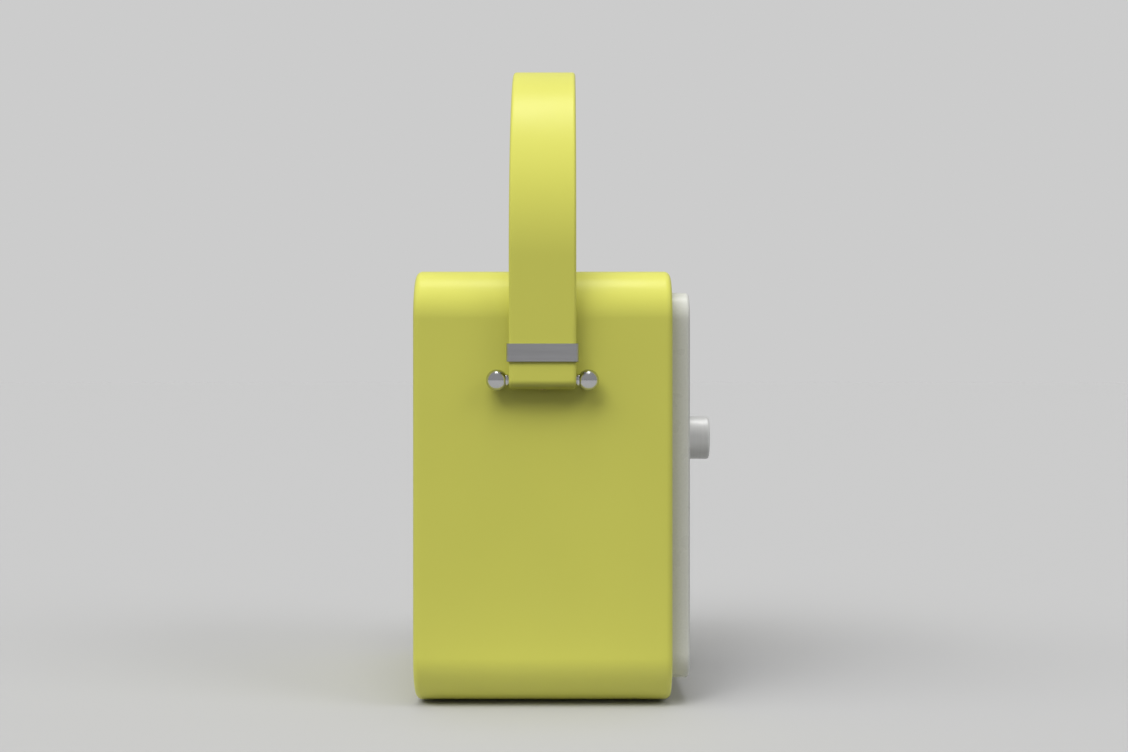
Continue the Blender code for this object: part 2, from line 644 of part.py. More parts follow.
def strap_stations():
    """(outer, inner) pairs of (x, z) down the right half of the strap, from its top to its end."""
    # The arch is a quarter of an ellipse, and its inner face follows at the strap's thickness.
    pairs = []
    for i in range(15):
        angle = pi / 2 * (1 - i / 14)
        outer = (STRAP_FACE * cos(angle), STRAP_TOP - ARCH_RISE * (1 - sin(angle)))
        normal = (ARCH_RISE * cos(angle), STRAP_FACE * sin(angle))
        depth = STRAP_THICKNESS / hypot(*normal)
        pairs.append([outer, (outer[0] - depth * normal[0], outer[1] - depth * normal[1])])
    thin_z = KEEPER_HIGH + 0.002
    straight = (
        (thin_z + 0.012, STRAP_THICKNESS),
        (thin_z, LOOP_THICKNESS),
        (PIVOT_HEIGHT + 0.004, LOOP_THICKNESS),
    )
    for z, thickness in straight:
        pairs.append([(STRAP_FACE, z), (STRAP_FACE - thickness, z)])
    # The loop runs under the bar and leaves it on a tangent to the point where the layers meet.
    centre_radius = LOOP_RADIUS - LOOP_THICKNESS / 2
    meet = (STRAP_FACE - 1.5 * LOOP_THICKNESS - GAP - BAR_X, 0.0080)
    tangent = atan2(meet[1], meet[0]) + acos(centre_radius / hypot(*meet))
    sweep = 2 * pi - tangent
    for i in range(13):
        angle = -sweep * i / 12
        radii = (LOOP_RADIUS, LOOP_RADIUS - LOOP_THICKNESS)
        pairs.append([(BAR_X + r * cos(angle), PIVOT_HEIGHT + r * sin(angle)) for r in radii])
    end_x = BAR_X + meet[0]
    for z in (PIVOT_HEIGHT + meet[1] + 0.0006, KEEPER_HIGH - 0.0005):
        pairs.append([(end_x - LOOP_THICKNESS / 2, z), (end_x + LOOP_THICKNESS / 2, z)])
    return pairs


def strap_section(outer, inner, sign):
    """The eased rectangle across the strap at one station."""
    half, ease = STRAP_WIDTH / 2, 0.0005
    (ox, oz), (ix, iz) = outer, inner
    length = hypot(ox - ix, oz - iz)
    ux, uz = (ox - ix) / length, (oz - iz) / length
    corners = [(0, half - ease), (ease, half), (length - ease, half), (length, half - ease)]
    corners += [(depth, -y) for depth, y in reversed(corners)]
    return [(sign * (ix + ux * d), CABINET_Y + y, iz + uz * d) for d, y in corners]


def handle_strap(finish):
    pairs = strap_stations()
    right = [strap_section(outer, inner, 1) for outer, inner in pairs]
    left = [strap_section(outer, inner, -1) for outer, inner in pairs[1:]]
    origin = (0, CABINET_Y, PIVOT_HEIGHT)
    strap = loft("handle_strap", left[::-1] + right, finish, origin=origin)
    for i, sx in enumerate((-1, 1)):
        inner, outer = sx * (SIDE + 0.0005), sx * BAR_X
        low = (min(inner, outer), CABINET_Y - 0.0033, PIVOT_HEIGHT - 0.0033)
        high = (max(inner, outer), CABINET_Y + 0.0033, PIVOT_HEIGHT + 0.0033)
        cut(strap, block(f"stud_slot_{i}", low, high, None))


def keeper(side, sign, finish):
    """The flat metal band that clamps the strap's returned end."""
    y_half = STRAP_WIDTH / 2 + GAP
    near = STRAP_FACE - 2 * LOOP_THICKNESS - 2 * GAP
    far = STRAP_FACE + GAP
    gauge, ease = 0.0007, 0.0004
    loops = []
    for grow, z in ((0, KEEPER_LOW), (gauge, KEEPER_LOW), (gauge, KEEPER_HIGH), (0, KEEPER_HIGH)):
        x0, x1, y = near - grow, far + grow, y_half + grow
        corners = [(x0 + ease, -y), (x1 - ease, -y), (x1, -y + ease), (x1, y - ease)]
        corners += [(x1 - ease, y), (x0 + ease, y), (x0, y - ease), (x0, -y + ease)]
        loops.append([(sign * x, CABINET_Y + dy, z) for x, dy in corners])
    loft(f"keeper_{side}", loops, finish, ring=True, origin=(0, CABINET_Y, PIVOT_HEIGHT))


def pivot_bar(side, sign, finish):
    """The strap's cross bar with the stud at its middle that turns in the cabinet wall."""
    length = 2 * BALL_OFFSET + 0.003
    ease = 0.0003
    profile = [
        (BAR_RADIUS - ease, 0), (BAR_RADIUS, ease), (BAR_RADIUS, length - ease), (BAR_RADIUS - ease, length),
    ]
    place = (sign * BAR_X, CABINET_Y - length / 2, PIVOT_HEIGHT)
    bar = turned(f"pivot_bar_{side}", profile, finish, place, TO_REAR, 16)
    stud_end = SIDE - 0.0110
    rotation = TO_RIGHT if sign > 0 else TO_LEFT
    place = (sign * stud_end, CABINET_Y, PIVOT_HEIGHT)
    stud = round_cutter(f"stud_{side}", STUD_RADIUS, BAR_X - 0.0006 - stud_end, place, rotation, 16)
    join(bar, stud)


def ball_ends(side, sign, finish):
    """The two bored balls on the ends of one cross bar, each open towards the strap."""
    bore = BAR_RADIUS + GAP
    start = acos(bore / BALL_RADIUS)
    for end, direction, rotation in (("front", -1, TO_FRONT), ("rear", 1, TO_REAR)):
        profile = [(bore, 0.0018), (bore, -BALL_RADIUS * sin(start))]
        for i in range(1, 8):
            angle = -start + i * (start + radians(80)) / 7
            profile.append((BALL_RADIUS * cos(angle), BALL_RADIUS * sin(angle)))
        place = (sign * BAR_X, CABINET_Y + direction * BALL_OFFSET, PIVOT_HEIGHT)
        turned(f"ball_{side}_{end}", profile, finish, place, rotation, 16)


def pivot_fittings(side, sign, bush_finish, nut_finish):
    """The flanged bush in the cabinet wall, and the nut inside that keeps the stud in it."""
    rotation = TO_RIGHT if sign > 0 else TO_LEFT
    place = (sign * SIDE, CABINET_Y, PIVOT_HEIGHT)
    bush = [
        (BUSH_BORE, 0.0011), (BUSH_FLANGE, 0.0011), (BUSH_FLANGE, GAP), (BUSH_RADIUS, GAP),
        (BUSH_RADIUS, -WALL), (BUSH_BORE, -WALL),
    ]
    turned(f"pivot_bush_{side}", bush, bush_finish, place, rotation, 16, ring=True)
    nut = [(BUSH_BORE, -0.0040), (0.0055, -0.0040), (0.0055, -0.0080), (BUSH_BORE, -0.0080)]
    turned(f"pivot_nut_{side}", nut, nut_finish, place, rotation, 12, ring=True)


# Assembly --------------------------------------------------------------------------------------

def build():
    clear_scene()
    yellow = material("yellow_plastic", (0.47, 0.47, 0.10), 0.45)
    strap = material("yellow_strap", (0.48, 0.48, 0.10), 0.40)
    white = material("white_plastic", (0.80, 0.80, 0.76), 0.40)
    dark = material("dark_plastic", (0.03, 0.03, 0.03), 0.45)
    chrome = material("chrome", (0.62, 0.62, 0.63), 0.12, 1.0)
    satin = material("satin_steel", (0.25, 0.25, 0.26), 0.35, 1.0)
    zinc = material("zinc_plate", (0.50, 0.50, 0.50), 0.40, 1.0)
    glass = material("tube_glass", (0.10, 0.11, 0.11), 0.08)
    clear = material("clear_sheet", (0.20, 0.22, 0.22), 0.05)
    copper = material("copper", (0.60, 0.28, 0.14), 0.35, 1.0)
    ferrite = material("ferrite", (0.05, 0.05, 0.05), 0.60)
    board = material("circuit_board", (0.30, 0.20, 0.08), 0.55)
    cloth = material("speaker_cloth", (0.05, 0.05, 0.05), 0.90)
    paper = material("speaker_paper", (0.07, 0.07, 0.07), 0.85)
    rubber = material("rubber", (0.03, 0.03, 0.03), 0.80)
    brass = material("brass", (0.55, 0.42, 0.18), 0.35, 1.0)
    cell = material("cell_wrap", (0.15, 0.16, 0.18), 0.35)

    cabinet_shell(yellow)
    feet(rubber)
    front_panel(white)
    speaker_cloth(cloth)
    screen_bezel(dark)
    screen_guard(clear)
    picture_tube(glass)
    tube_band(zinc)
    deflection_yoke(copper, ferrite)
    tube_socket(dark)
    channel_knob(white)
    tuner(zinc, brass)
    volume(white, zinc)
    power(white, dark)
    loudspeaker(zinc, paper, ferrite)
    chassis_frame(zinc)
    main_board(board)
    hold_knobs(dark)
    line_transformer(dark)
    battery_box(dark)
    battery_cells(cell)
    rear_cover(yellow)
    cover_screws(zinc)
    battery_door(yellow)
    rear_socket("aerial_socket", AERIAL_X, 0.0065, 0.0046, 0.0020, zinc)
    rear_socket("power_inlet", INLET_X, 0.0062, 0.0046, 0.0027, dark, pin=0.0007)
    rear_socket("earphone_socket", EARPHONE_X, 0.0055, 0.0038, 0.0018, dark)
    handle_strap(strap)
    for side, sign in (("left", -1), ("right", 1)):
        keeper(side, sign, satin)
        pivot_bar(side, sign, chrome)
        ball_ends(side, sign, chrome)
        pivot_fittings(side, sign, brass, zinc)


build()
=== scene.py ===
"""The looks of a small portable television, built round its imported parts.

Metres, +Z up, the screen faces -Y. Each visible part gets a finer mesh in the place of its CAD
solid; the parts inside keep their solids. Every surface has a procedural material.
"""

import json
from math import acos, atan2, cos, hypot, pi, radians, sin, tan

import bmesh
import bpy
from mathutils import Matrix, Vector


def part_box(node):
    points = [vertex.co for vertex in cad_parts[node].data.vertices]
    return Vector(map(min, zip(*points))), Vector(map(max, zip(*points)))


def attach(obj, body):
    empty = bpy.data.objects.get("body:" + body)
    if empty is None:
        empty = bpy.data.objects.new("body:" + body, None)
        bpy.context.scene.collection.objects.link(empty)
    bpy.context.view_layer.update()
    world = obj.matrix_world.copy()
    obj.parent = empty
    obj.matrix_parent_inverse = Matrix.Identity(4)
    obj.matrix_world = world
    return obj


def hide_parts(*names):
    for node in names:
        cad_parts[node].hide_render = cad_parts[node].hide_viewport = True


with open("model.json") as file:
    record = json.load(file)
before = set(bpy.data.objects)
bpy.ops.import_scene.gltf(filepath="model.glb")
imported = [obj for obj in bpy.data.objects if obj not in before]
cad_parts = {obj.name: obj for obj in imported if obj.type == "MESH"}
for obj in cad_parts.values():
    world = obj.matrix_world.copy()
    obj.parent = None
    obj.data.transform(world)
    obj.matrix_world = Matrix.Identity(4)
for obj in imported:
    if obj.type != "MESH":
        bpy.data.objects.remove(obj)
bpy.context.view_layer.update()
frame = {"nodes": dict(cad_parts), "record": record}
scene = bpy.context.scene
scene.view_settings.view_transform = "Standard"


# --- Places and sizes ---

JOINTS = {joint["name"]: joint for joint in frame["record"]["behaviour"]["joints"]}


def pivot(joint):
    return Vector(JOINTS[joint]["pos_m"])


def middle(node):
    low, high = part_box(node)
    return (low + high) / 2


def size(node):
    low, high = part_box(node)
    return high - low


SHELL_LOW, SHELL_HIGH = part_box("cabinet_shell")
PANEL_LOW, PANEL_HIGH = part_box("front_panel")
FRONT = SHELL_LOW.y
REAR = SHELL_HIGH.y
SIDE = SHELL_HIGH.x
MIDDLE_Z = middle("cabinet_shell").z
MIDDLE_Y = middle("cabinet_shell").y
PANEL_FACE = PANEL_LOW.y
PANEL_SKIN = 0.003
PANEL_BACK = PANEL_FACE + PANEL_SKIN
COVER_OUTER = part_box("rear_cover")[1].y
COVER_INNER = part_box("rear_cover")[0].y
CORNER_RADIUS = 0.023
EDGE_RADIUS = 0.003
WALL = 0.0035
GAP = 0.0003
FIT = 0.0004
# How far a cutter reaches past the face it opens.
OVERCUT = 0.002
TUBE_CENTRE = (middle("screen_guard").x, middle("screen_guard").z)

# Directions that turned pieces point in, as (axis, first side, second side).
X, Y, Z = Vector((1, 0, 0)), Vector((0, 1, 0)), Vector((0, 0, 1))
TO_FRONT = (-Y, X, Z)
TO_REAR = (Y, X, Z)
TO_RIGHT = (X, Y, Z)
TO_LEFT = (-X, Y, Z)
UPWARD = (Z, X, Y)

# The two sides of the set: name, sign of X, and the way outward.
HANDS = (("left", -1, TO_LEFT), ("right", 1, TO_RIGHT))


# --- Outlines ---

# The share of an edge that the arc at one of its ends may use.
MOST_OF_EDGE = 0.49


def eased(points, radius, steps=4, closed=True):
    """The outline with each corner made an arc. radius is one value, or one for each corner."""
    made = []
    count = len(points)
    for i, point in enumerate(points):
        here = Vector(point)
        wanted = radius[i] if isinstance(radius, (list, tuple)) else radius
        if wanted == 0 or (not closed and i in (0, count - 1)):
            made.append(tuple(here))
            continue
        before = Vector(points[i - 1]) - here
        after = Vector(points[(i + 1) % count]) - here
        half = before.angle(after) / 2
        reach = min(wanted / tan(half), MOST_OF_EDGE * before.length, MOST_OF_EDGE * after.length)
        true_radius = reach * tan(half)
        centre = here + (before.normalized() + after.normalized()).normalized() * true_radius / sin(half)
        first = here + before.normalized() * reach - centre
        last = here + after.normalized() * reach - centre
        start = atan2(first.y, first.x)
        sweep = (atan2(last.y, last.x) - start + pi) % (2 * pi) - pi
        for step in range(steps + 1):
            angle = start + sweep * step / steps
            made.append((centre.x + true_radius * cos(angle), centre.y + true_radius * sin(angle)))
    return made


def quarter(radius, near, way=1, steps=6):
    """(inset, depth) pairs round an edge, from the face at near to the side."""
    angles = [i / steps * pi / 2 for i in range(steps + 1)]
    return [(radius * (1 - sin(a)), near + way * radius * (1 - cos(a))) for a in angles]


def rounded(width, height, radius, y, centre=(0.0, MIDDLE_Z), steps=12):
    """A rectangle with round corners, standing at depth y."""
    points = []
    for turn, (sx, sz) in enumerate(((1, 1), (-1, 1), (-1, -1), (1, -1))):
        cx = centre[0] + sx * (width / 2 - radius)
        cz = centre[1] + sz * (height / 2 - radius)
        for i in range(steps + 1):
            angle = (turn + i / steps) * pi / 2
            points.append(Vector((cx + radius * cos(angle), y, cz + radius * sin(angle))))
    return points


def plate(shape, profile, centre=(0.0, MIDDLE_Z), steps=12):
    """Loops of a (width, height, radius) shape at each (inset, depth) of a profile."""
    width, height, radius = shape
    return [
        rounded(width - 2 * amount, height - 2 * amount, max(radius - amount, 0.0002), y, centre, steps)
        for amount, y in profile
    ]


def turned(profile, place, direction, sides=64):
    """Loops of a turned shape from (radius, height) points along a direction."""
    axis, first, second = direction
    loops = []
    for radius, height in profile:
        middle_point = Vector(place) + axis * height
        angles = [2 * pi * i / sides for i in range(sides)]
        loops.append([middle_point + first * radius * cos(a) + second * radius * sin(a) for a in angles])
    return loops


def lathe(outline, easing, steps, place, direction, sides):
    """Loops of a turned shape from an open outline with its corners eased."""
    return turned(eased(outline, easing, steps, closed=False), place, direction, sides)


def block(low, high, ease=0.0, steps=3):
    """Loops of a box with its upright and end edges eased."""
    width, height = high[0] - low[0], high[2] - low[2]
    centre = ((low[0] + high[0]) / 2, (low[2] + high[2]) / 2)
    ease = ease or 0.00001
    near = quarter(ease, low[1], steps=steps)
    far = [(amount, high[1] + low[1] - y) for amount, y in reversed(near)]
    return plate((width, height, ease * 1.02), near + far, centre, steps)


def circle(radius):
    """The (width, height, radius) shape of a round hole."""
    return 2 * radius, 2 * radius, radius


def serrate(loops, place, beyond, front, back, pattern, depth):
    """Presses grooves into a rim between two places along Y; (3, 1) lowers one point in three."""
    every, lowered = pattern
    for loop in loops:
        for i, point in enumerate(loop):
            out = Vector((point.x - place[0], 0, point.z - place[2]))
            if out.length > beyond and front < point.y < back and i % every < lowered:
                point -= out.normalized() * depth


def lipped_hole(shape, centre, face, depth, lip, steps=6, way=1):
    """Loops of a cutter whose mouth flares out round a lip of that radius; way is +1 into +Y."""
    profile = [(-lip, face - way * 0.0006)]
    profile += [(-amount, y) for amount, y in quarter(lip, face, way, 5)]
    profile.append((0, face + way * depth))
    return plate(shape, profile, centre, steps)


# --- Meshes ---

def add_skin(bm, loops, ring=False):
    """Faces through successive loops; a ring joins last to first, otherwise both ends are capped."""
    rows = [[bm.verts.new(point) for point in loop] for loop in loops]
    pairs = list(zip(rows, rows[1:]))
    if ring:
        pairs.append((rows[-1], rows[0]))
    else:
        bm.faces.new(rows[0])
        bm.faces.new(rows[-1])
    for first, second in pairs:
        for i in range(len(first)):
            j = (i + 1) % len(first)
            bm.faces.new((first[i], first[j], second[j], second[i]))


def linked(name, data):
    """An object with that data, linked into the scene."""
    made = bpy.data.objects.new(name, data)
    scene.collection.objects.link(made)
    return made


def object_from(name, bm):
    """The object made from a bmesh, which is freed."""
    mesh = bpy.data.meshes.new(name)
    bm.to_mesh(mesh)
    bm.free()
    return linked(name, mesh)


def object_of(name, shells):
    """One mesh from shells, each its loops or (loops, True) for a ring."""
    bm = bmesh.new()
    for shell in shells:
        if isinstance(shell, tuple):
            add_skin(bm, *shell)
        else:
            add_skin(bm, shell)
    bmesh.ops.recalc_face_normals(bm, faces=bm.faces)
    return object_from(name, bm)


def combine(made, operation, shells):
    """A Boolean with other shells, applied at once."""
    tool = object_of("tool", shells)
    modifier = made.modifiers.new("boolean", "BOOLEAN")
    modifier.operation = operation
    modifier.solver = "EXACT"
    modifier.object = tool
    bpy.context.view_layer.update()
    evaluated = made.evaluated_get(bpy.context.evaluated_depsgraph_get())
    mesh = bpy.data.meshes.new_from_object(evaluated)
    made.modifiers.clear()
    old, made.data = made.data, mesh
    bpy.data.meshes.remove(old)
    bpy.data.objects.remove(tool)


def smooth(made, sharp=35):
    """Smooth shading that keeps the flats flat and the hard corners crisp."""
    made.data.shade_smooth()
    made.data.set_sharp_from_angle(angle=radians(sharp))
    weighted = made.modifiers.new("flat faces", "WEIGHTED_NORMAL")
    weighted.keep_sharp = True
    weighted.weight = 80


def dress(made, finish, body):
    """Gives a piece its material, and has it move with a body."""
    made.data.materials.append(FINISH[finish])
    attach(made, body)


def piece(name, shells, slot, body, nodes, joins=(), cuts=(), sharp=35):
    """A finished piece that stands for CAD nodes and moves with their body."""
    made = object_of(name, shells)
    for extra in joins:
        combine(made, "UNION", extra)
    for extra in cuts:
        combine(made, "DIFFERENCE", extra)
    smooth(made, sharp)
    dress(made, slot, body)
    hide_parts(*nodes)
    return made


# --- Materials ---

def set_inputs(node, inputs):
    for socket, value in inputs.items():
        node.inputs[socket].default_value = value


def add_node(tree, kind, inputs=None, **settings):
    """A shader node with its settings and the values of its inputs."""
    made = tree.nodes.new(kind)
    for key, value in settings.items():
        setattr(made, key, value)
    set_inputs(made, inputs or {})
    return made


class Recipe:
    """A Principled material under construction, with short ways to add its nodes."""

    def __init__(self, name, colour, roughness, metallic=0.0, extra=None):
        self.material = bpy.data.materials.new(name)
        self.material.use_nodes = True
        self.tree = self.material.node_tree
        self.shader = self.tree.nodes["Principled BSDF"]
        self.colour = colour
        set_inputs(self.shader, {"Base Color": (*colour, 1), "Roughness": roughness, "Metallic": metallic})
        set_inputs(self.shader, extra or {})
        self.place = add_node(self.tree, "ShaderNodeTexCoord").outputs["Object"]
        self.height = None
        self.link = self.tree.links.new

    def texture(self, kind, inputs, stretch=None, **settings):
        """A texture over the object's own space, stretched along its axes if asked."""
        made = add_node(self.tree, kind, inputs, **settings)
        place = self.place
        if stretch:
            mapping = add_node(self.tree, "ShaderNodeMapping", {"Scale": stretch})
            self.link(place, mapping.inputs["Vector"])
            place = mapping.outputs["Vector"]
        self.link(place, made.inputs["Vector"])
        return made.outputs

    def noise(self, scale, detail=3, stretch=None):
        return self.texture("ShaderNodeTexNoise", {"Scale": scale, "Detail": detail}, stretch)["Fac"]

    def cells(self, scale, stretch=None):
        return self.texture("ShaderNodeTexVoronoi", {"Scale": scale}, stretch)["Distance"]

    def bands(self, scale, direction):
        settings = {"wave_type": "BANDS", "bands_direction": direction}
        return self.texture("ShaderNodeTexWave", {"Scale": scale}, **settings)["Fac"]

    def ramp(self, source, low, high, first, last):
        """A colour that goes from first to last as source goes from low to high."""
        made = add_node(self.tree, "ShaderNodeValToRGB")
        for element, place, colour in zip(made.color_ramp.elements, (low, high), (first, last)):
            element.position = place
            element.color = (*colour, 1)
        self.link(source, made.inputs["Fac"])
        return made.outputs["Color"]

    def tint(self, source, spread, low=0.3, high=0.7):
        """Colour that varies by spread round the base colour."""
        darker = [channel * (1 - spread) for channel in self.colour]
        lighter = [min(channel * (1 + spread), 1.0) for channel in self.colour]
        self.link(self.ramp(source, low, high, darker, lighter), self.shader.inputs["Base Color"])

    def gloss(self, source, least, most):
        """Roughness that varies between two values."""
        limits = {"From Min": 0.3, "From Max": 0.7, "To Min": least, "To Max": most}
        made = add_node(self.tree, "ShaderNodeMapRange", limits)
        self.link(source, made.inputs["Value"])
        self.link(made.outputs["Result"], self.shader.inputs["Roughness"])

    def relief(self, source, distance):
        """Bump of that height in metres, on top of any before it."""
        made = add_node(self.tree, "ShaderNodeBump", {"Strength": 1.0, "Distance": distance})
        self.link(source, made.inputs["Height"])
        if self.height:
            self.link(self.height, made.inputs["Normal"])
        self.height = made.outputs["Normal"]
        self.link(self.height, self.shader.inputs["Normal"])

    def product(self, first, second):
        made = add_node(self.tree, "ShaderNodeMath", operation="MULTIPLY")
        self.link(first, made.inputs[0])
        self.link(second, made.inputs[1])
        return made.outputs[0]


def yellow_plastic(name, colour, least, most):
    """Satin moulded plastic: faint flow marks, uneven gloss and a very fine orange peel."""
    made = Recipe(name, colour, (least + most) / 2)
    made.tint(made.noise(14, 2), 0.018)
    made.gloss(made.noise(38, 4), least, most)
    made.relief(made.noise(900, 2), 4e-6)
    made.relief(made.noise(60, 1), 1e-5)
    return made.material


def white_plastic():
    """Slightly warm painted plastic with a fine speckle."""
    made = Recipe("panel_plastic", (0.66, 0.665, 0.62), 0.3)
    made.tint(made.noise(900), 0.03)
    made.gloss(made.noise(60, 4), 0.25, 0.36)
    made.relief(made.noise(1500, 2), 5e-6)
    return made.material


def knob_plastic():
    """Pale moulding with a pearly lacquer, finely turned round its side."""
    made = Recipe("knob_plastic", (0.82, 0.82, 0.805), 0.42, 0.35)
    made.tint(made.noise(900, 3, (0.03, 1, 0.03)), 0.03)
    made.gloss(made.noise(120, 4), 0.38, 0.46)
    made.relief(made.noise(2000, 2, (0.03, 1, 0.03)), 3e-6)
    return made.material


def dark_plastic():
    """Black moulding with a fine spark-eroded texture."""
    made = Recipe("dark_plastic", (0.022, 0.022, 0.023), 0.45)
    made.tint(made.noise(90), 0.15)
    made.gloss(made.noise(70, 4), 0.38, 0.55)
    made.relief(made.cells(2600), 1e-5)
    return made.material


def chrome():
    """Polished plate with hairline polishing marks and a little haze."""
    made = Recipe("chrome", (0.59, 0.59, 0.605), 0.21, 1.0)
    made.tint(made.noise(220, 2), 0.03)
    made.gloss(made.noise(300, 5), 0.17, 0.26)
    made.relief(made.noise(700, 3, (1, 12, 1)), 2e-6)
    return made.material


def satin_steel():
    """Stainless band, brushed along its length."""
    made = Recipe("satin_steel", (0.49, 0.49, 0.505), 0.42, 1.0)
    made.tint(made.noise(600, 3, (1, 0.05, 1)), 0.05)
    made.gloss(made.noise(900, 3, (1, 0.03, 1)), 0.36, 0.5)
    made.relief(made.noise(2400, 2, (1, 0.02, 1)), 4e-6)
    return made.material


def plated_steel():
    """Zinc plate with its cloudy crystal patches."""
    made = Recipe("plated_steel", (0.5, 0.5, 0.49), 0.38, 1.0)
    made.tint(made.cells(180), 0.1, 0.1, 0.6)
    made.gloss(made.noise(150, 4), 0.3, 0.48)
    made.relief(made.noise(900), 6e-6)
    return made.material


def brass():
    made = Recipe("brass", (0.55, 0.41, 0.18), 0.32, 1.0)
    made.tint(made.noise(240, 4), 0.12)
    made.gloss(made.noise(300, 4), 0.24, 0.42)
    made.relief(made.noise(1800, 2), 4e-6)
    return made.material


def copper_wire():
    """Varnished windings, side by side."""
    made = Recipe("copper_wire", (0.52, 0.2, 0.08), 0.34, 0.8)
    made.tint(made.noise(260), 0.18)
    made.gloss(made.noise(200), 0.26, 0.44)
    made.relief(made.bands(900, "Y"), 0.00012)
    return made.material


def ferrite():
    made = Recipe("ferrite", (0.045, 0.045, 0.048), 0.62)
    made.tint(made.noise(500, 4), 0.25)
    made.gloss(made.noise(240), 0.52, 0.74)
    made.relief(made.noise(2200), 2e-5)
    return made.material


def circuit_board():
    """Brown laminate with lighter printed tracks under its lacquer."""
    made = Recipe("circuit_board", (0.23, 0.13, 0.045), 0.42)
    tracks = made.cells(130, (1, 1.4, 0.05))
    made.link(
        made.ramp(tracks, 0.42, 0.46, (0.23, 0.13, 0.045), (0.34, 0.24, 0.09)),
        made.shader.inputs["Base Color"],
    )
    made.gloss(made.noise(200), 0.34, 0.55)
    made.relief(tracks, 6e-5)
    return made.material


THREAD_PITCH = 0.0008
WAVE_TEXTURE_BANDS = 20.0


def speaker_weave():
    """Plain-woven dark cloth, 0.8 mm from thread to thread."""
    sheen = {"Sheen Weight": 0.25, "Sheen Roughness": 0.5}
    made = Recipe("speaker_weave", (0.03, 0.03, 0.028), 0.85, extra=sheen)
    thread = 1.0 / (THREAD_PITCH * WAVE_TEXTURE_BANDS)
    warp = made.bands(thread, "X")
    weft = made.bands(thread, "Z")
    weave = made.product(warp, weft)
    made.tint(weave, 0.55, 0.05, 0.8)
    made.gloss(made.noise(500), 0.78, 0.95)
    made.relief(weave, 0.00022)
    made.relief(made.noise(3000), 5e-5)
    return made.material


def speaker_paper():
    made = Recipe("speaker_paper", (0.05, 0.047, 0.043), 0.9)
    made.tint(made.noise(700, 5), 0.35)
    made.gloss(made.noise(400), 0.82, 0.98)
    made.relief(made.noise(1600, 5), 8e-5)
    return made.material


def rubber():
    made = Recipe("rubber", (0.022, 0.022, 0.022), 0.78)
    made.tint(made.noise(400, 4), 0.3)
    made.gloss(made.noise(300), 0.68, 0.9)
    made.relief(made.noise(1400), 4e-5)
    return made.material


def tube_face_glass():
    """Grey faceplate with the pale phosphor just behind it."""
    made = Recipe("tube_face_glass", (0.105, 0.115, 0.11), 0.04)
    made.tint(made.noise(24, 2), 0.04)
    made.gloss(made.noise(40, 2), 0.03, 0.05)
    return made.material


def tube_coat():
    """Black graphite paint on the tube's funnel."""
    made = Recipe("tube_coat", (0.018, 0.018, 0.019), 0.7)
    made.tint(made.noise(180, 4), 0.3)
    made.gloss(made.noise(120, 4), 0.6, 0.8)
    made.relief(made.noise(900, 4), 4e-5)
    return made.material


def clear_sheet():
    """Polished clear acrylic with a faint grey tint, which lets the lamps' light through."""
    made = Recipe("clear_sheet", (0.9, 0.92, 0.91), 0.0, extra={"Transmission Weight": 1.0, "IOR": 1.2})
    made.tint(made.noise(20, 2), 0.01)
    made.gloss(made.noise(16, 2), 0.0, 0.002)
    open_to_lamps = add_node(made.tree, "ShaderNodeBsdfTransparent", {"Color": (0.86, 0.88, 0.87, 1)})
    rays = add_node(made.tree, "ShaderNodeLightPath")
    mixed = add_node(made.tree, "ShaderNodeMixShader")
    made.link(rays.outputs["Is Shadow Ray"], mixed.inputs[0])
    made.link(made.shader.outputs["BSDF"], mixed.inputs[1])
    made.link(open_to_lamps.outputs["BSDF"], mixed.inputs[2])
    made.link(mixed.outputs["Shader"], made.tree.nodes["Material Output"].inputs["Surface"])
    return made.material


def cell_jacket():
    """Lacquered steel jacket of a battery cell, plain grey blue."""
    made = Recipe("cell_jacket", (0.1, 0.14, 0.2), 0.3, 0.3, {"Coat Weight": 0.4})
    made.tint(made.noise(60), 0.05)
    made.gloss(made.noise(150, 4), 0.24, 0.4)
    made.relief(made.noise(800, 2), 6e-6)
    return made.material


def ink():
    """Printed dial marks."""
    made = Recipe("ink", (0.035, 0.035, 0.035), 0.55)
    made.tint(made.noise(1200), 0.25)
    made.gloss(made.noise(900, 2), 0.48, 0.65)
    return made.material


FINISH = {
    "cabinet": yellow_plastic("cabinet_plastic", (0.71, 0.706, 0.122), 0.3, 0.39),
    "strap": yellow_plastic("strap_plastic", (0.705, 0.701, 0.12), 0.3, 0.38),
    "panel": white_plastic(),
    "knob": knob_plastic(),
    "dark_plastic": dark_plastic(),
    "chrome": chrome(),
    "satin_steel": satin_steel(),
    "plated_steel": plated_steel(),
    "brass": brass(),
    "tube_glass": tube_face_glass(),
    "tube_coat": tube_coat(),
    "clear_sheet": clear_sheet(),
    "copper": copper_wire(),
    "ferrite": ferrite(),
    "board": circuit_board(),
    "cloth": speaker_weave(),
    "paper": speaker_paper(),
    "rubber": rubber(),
    "cell": cell_jacket(),
    "ink": ink(),
}


# --- Cabinet ---

SHELL_SHAPE = (2 * SIDE, SHELL_HIGH.z - SHELL_LOW.z, CORNER_RADIUS)
PANEL_SHAPE = (PANEL_HIGH.x - PANEL_LOW.x, PANEL_HIGH.z - PANEL_LOW.z, 0.013)
FRAME_STEP = 0.002
SCREW_PLACES = [middle(f"cover_screw_{i}") for i in (1, 2, 3, 4)]
FOOT_PLACES = [middle(f"foot_{i}") for i in (1, 2, 3, 4)]
FOOT_RADIUS = size("foot_1").x / 2
FOOT_POCKET = 0.0022
BOSS_RADIUS = 0.0054
BOSS_LENGTH = 0.022
PILOT_RADIUS = 0.0019
PILOT_DEPTH = 0.014
BUSH_BORE = 0.0027
BUSH_RADIUS = 0.0036
BUSH_FLANGE = 0.0044


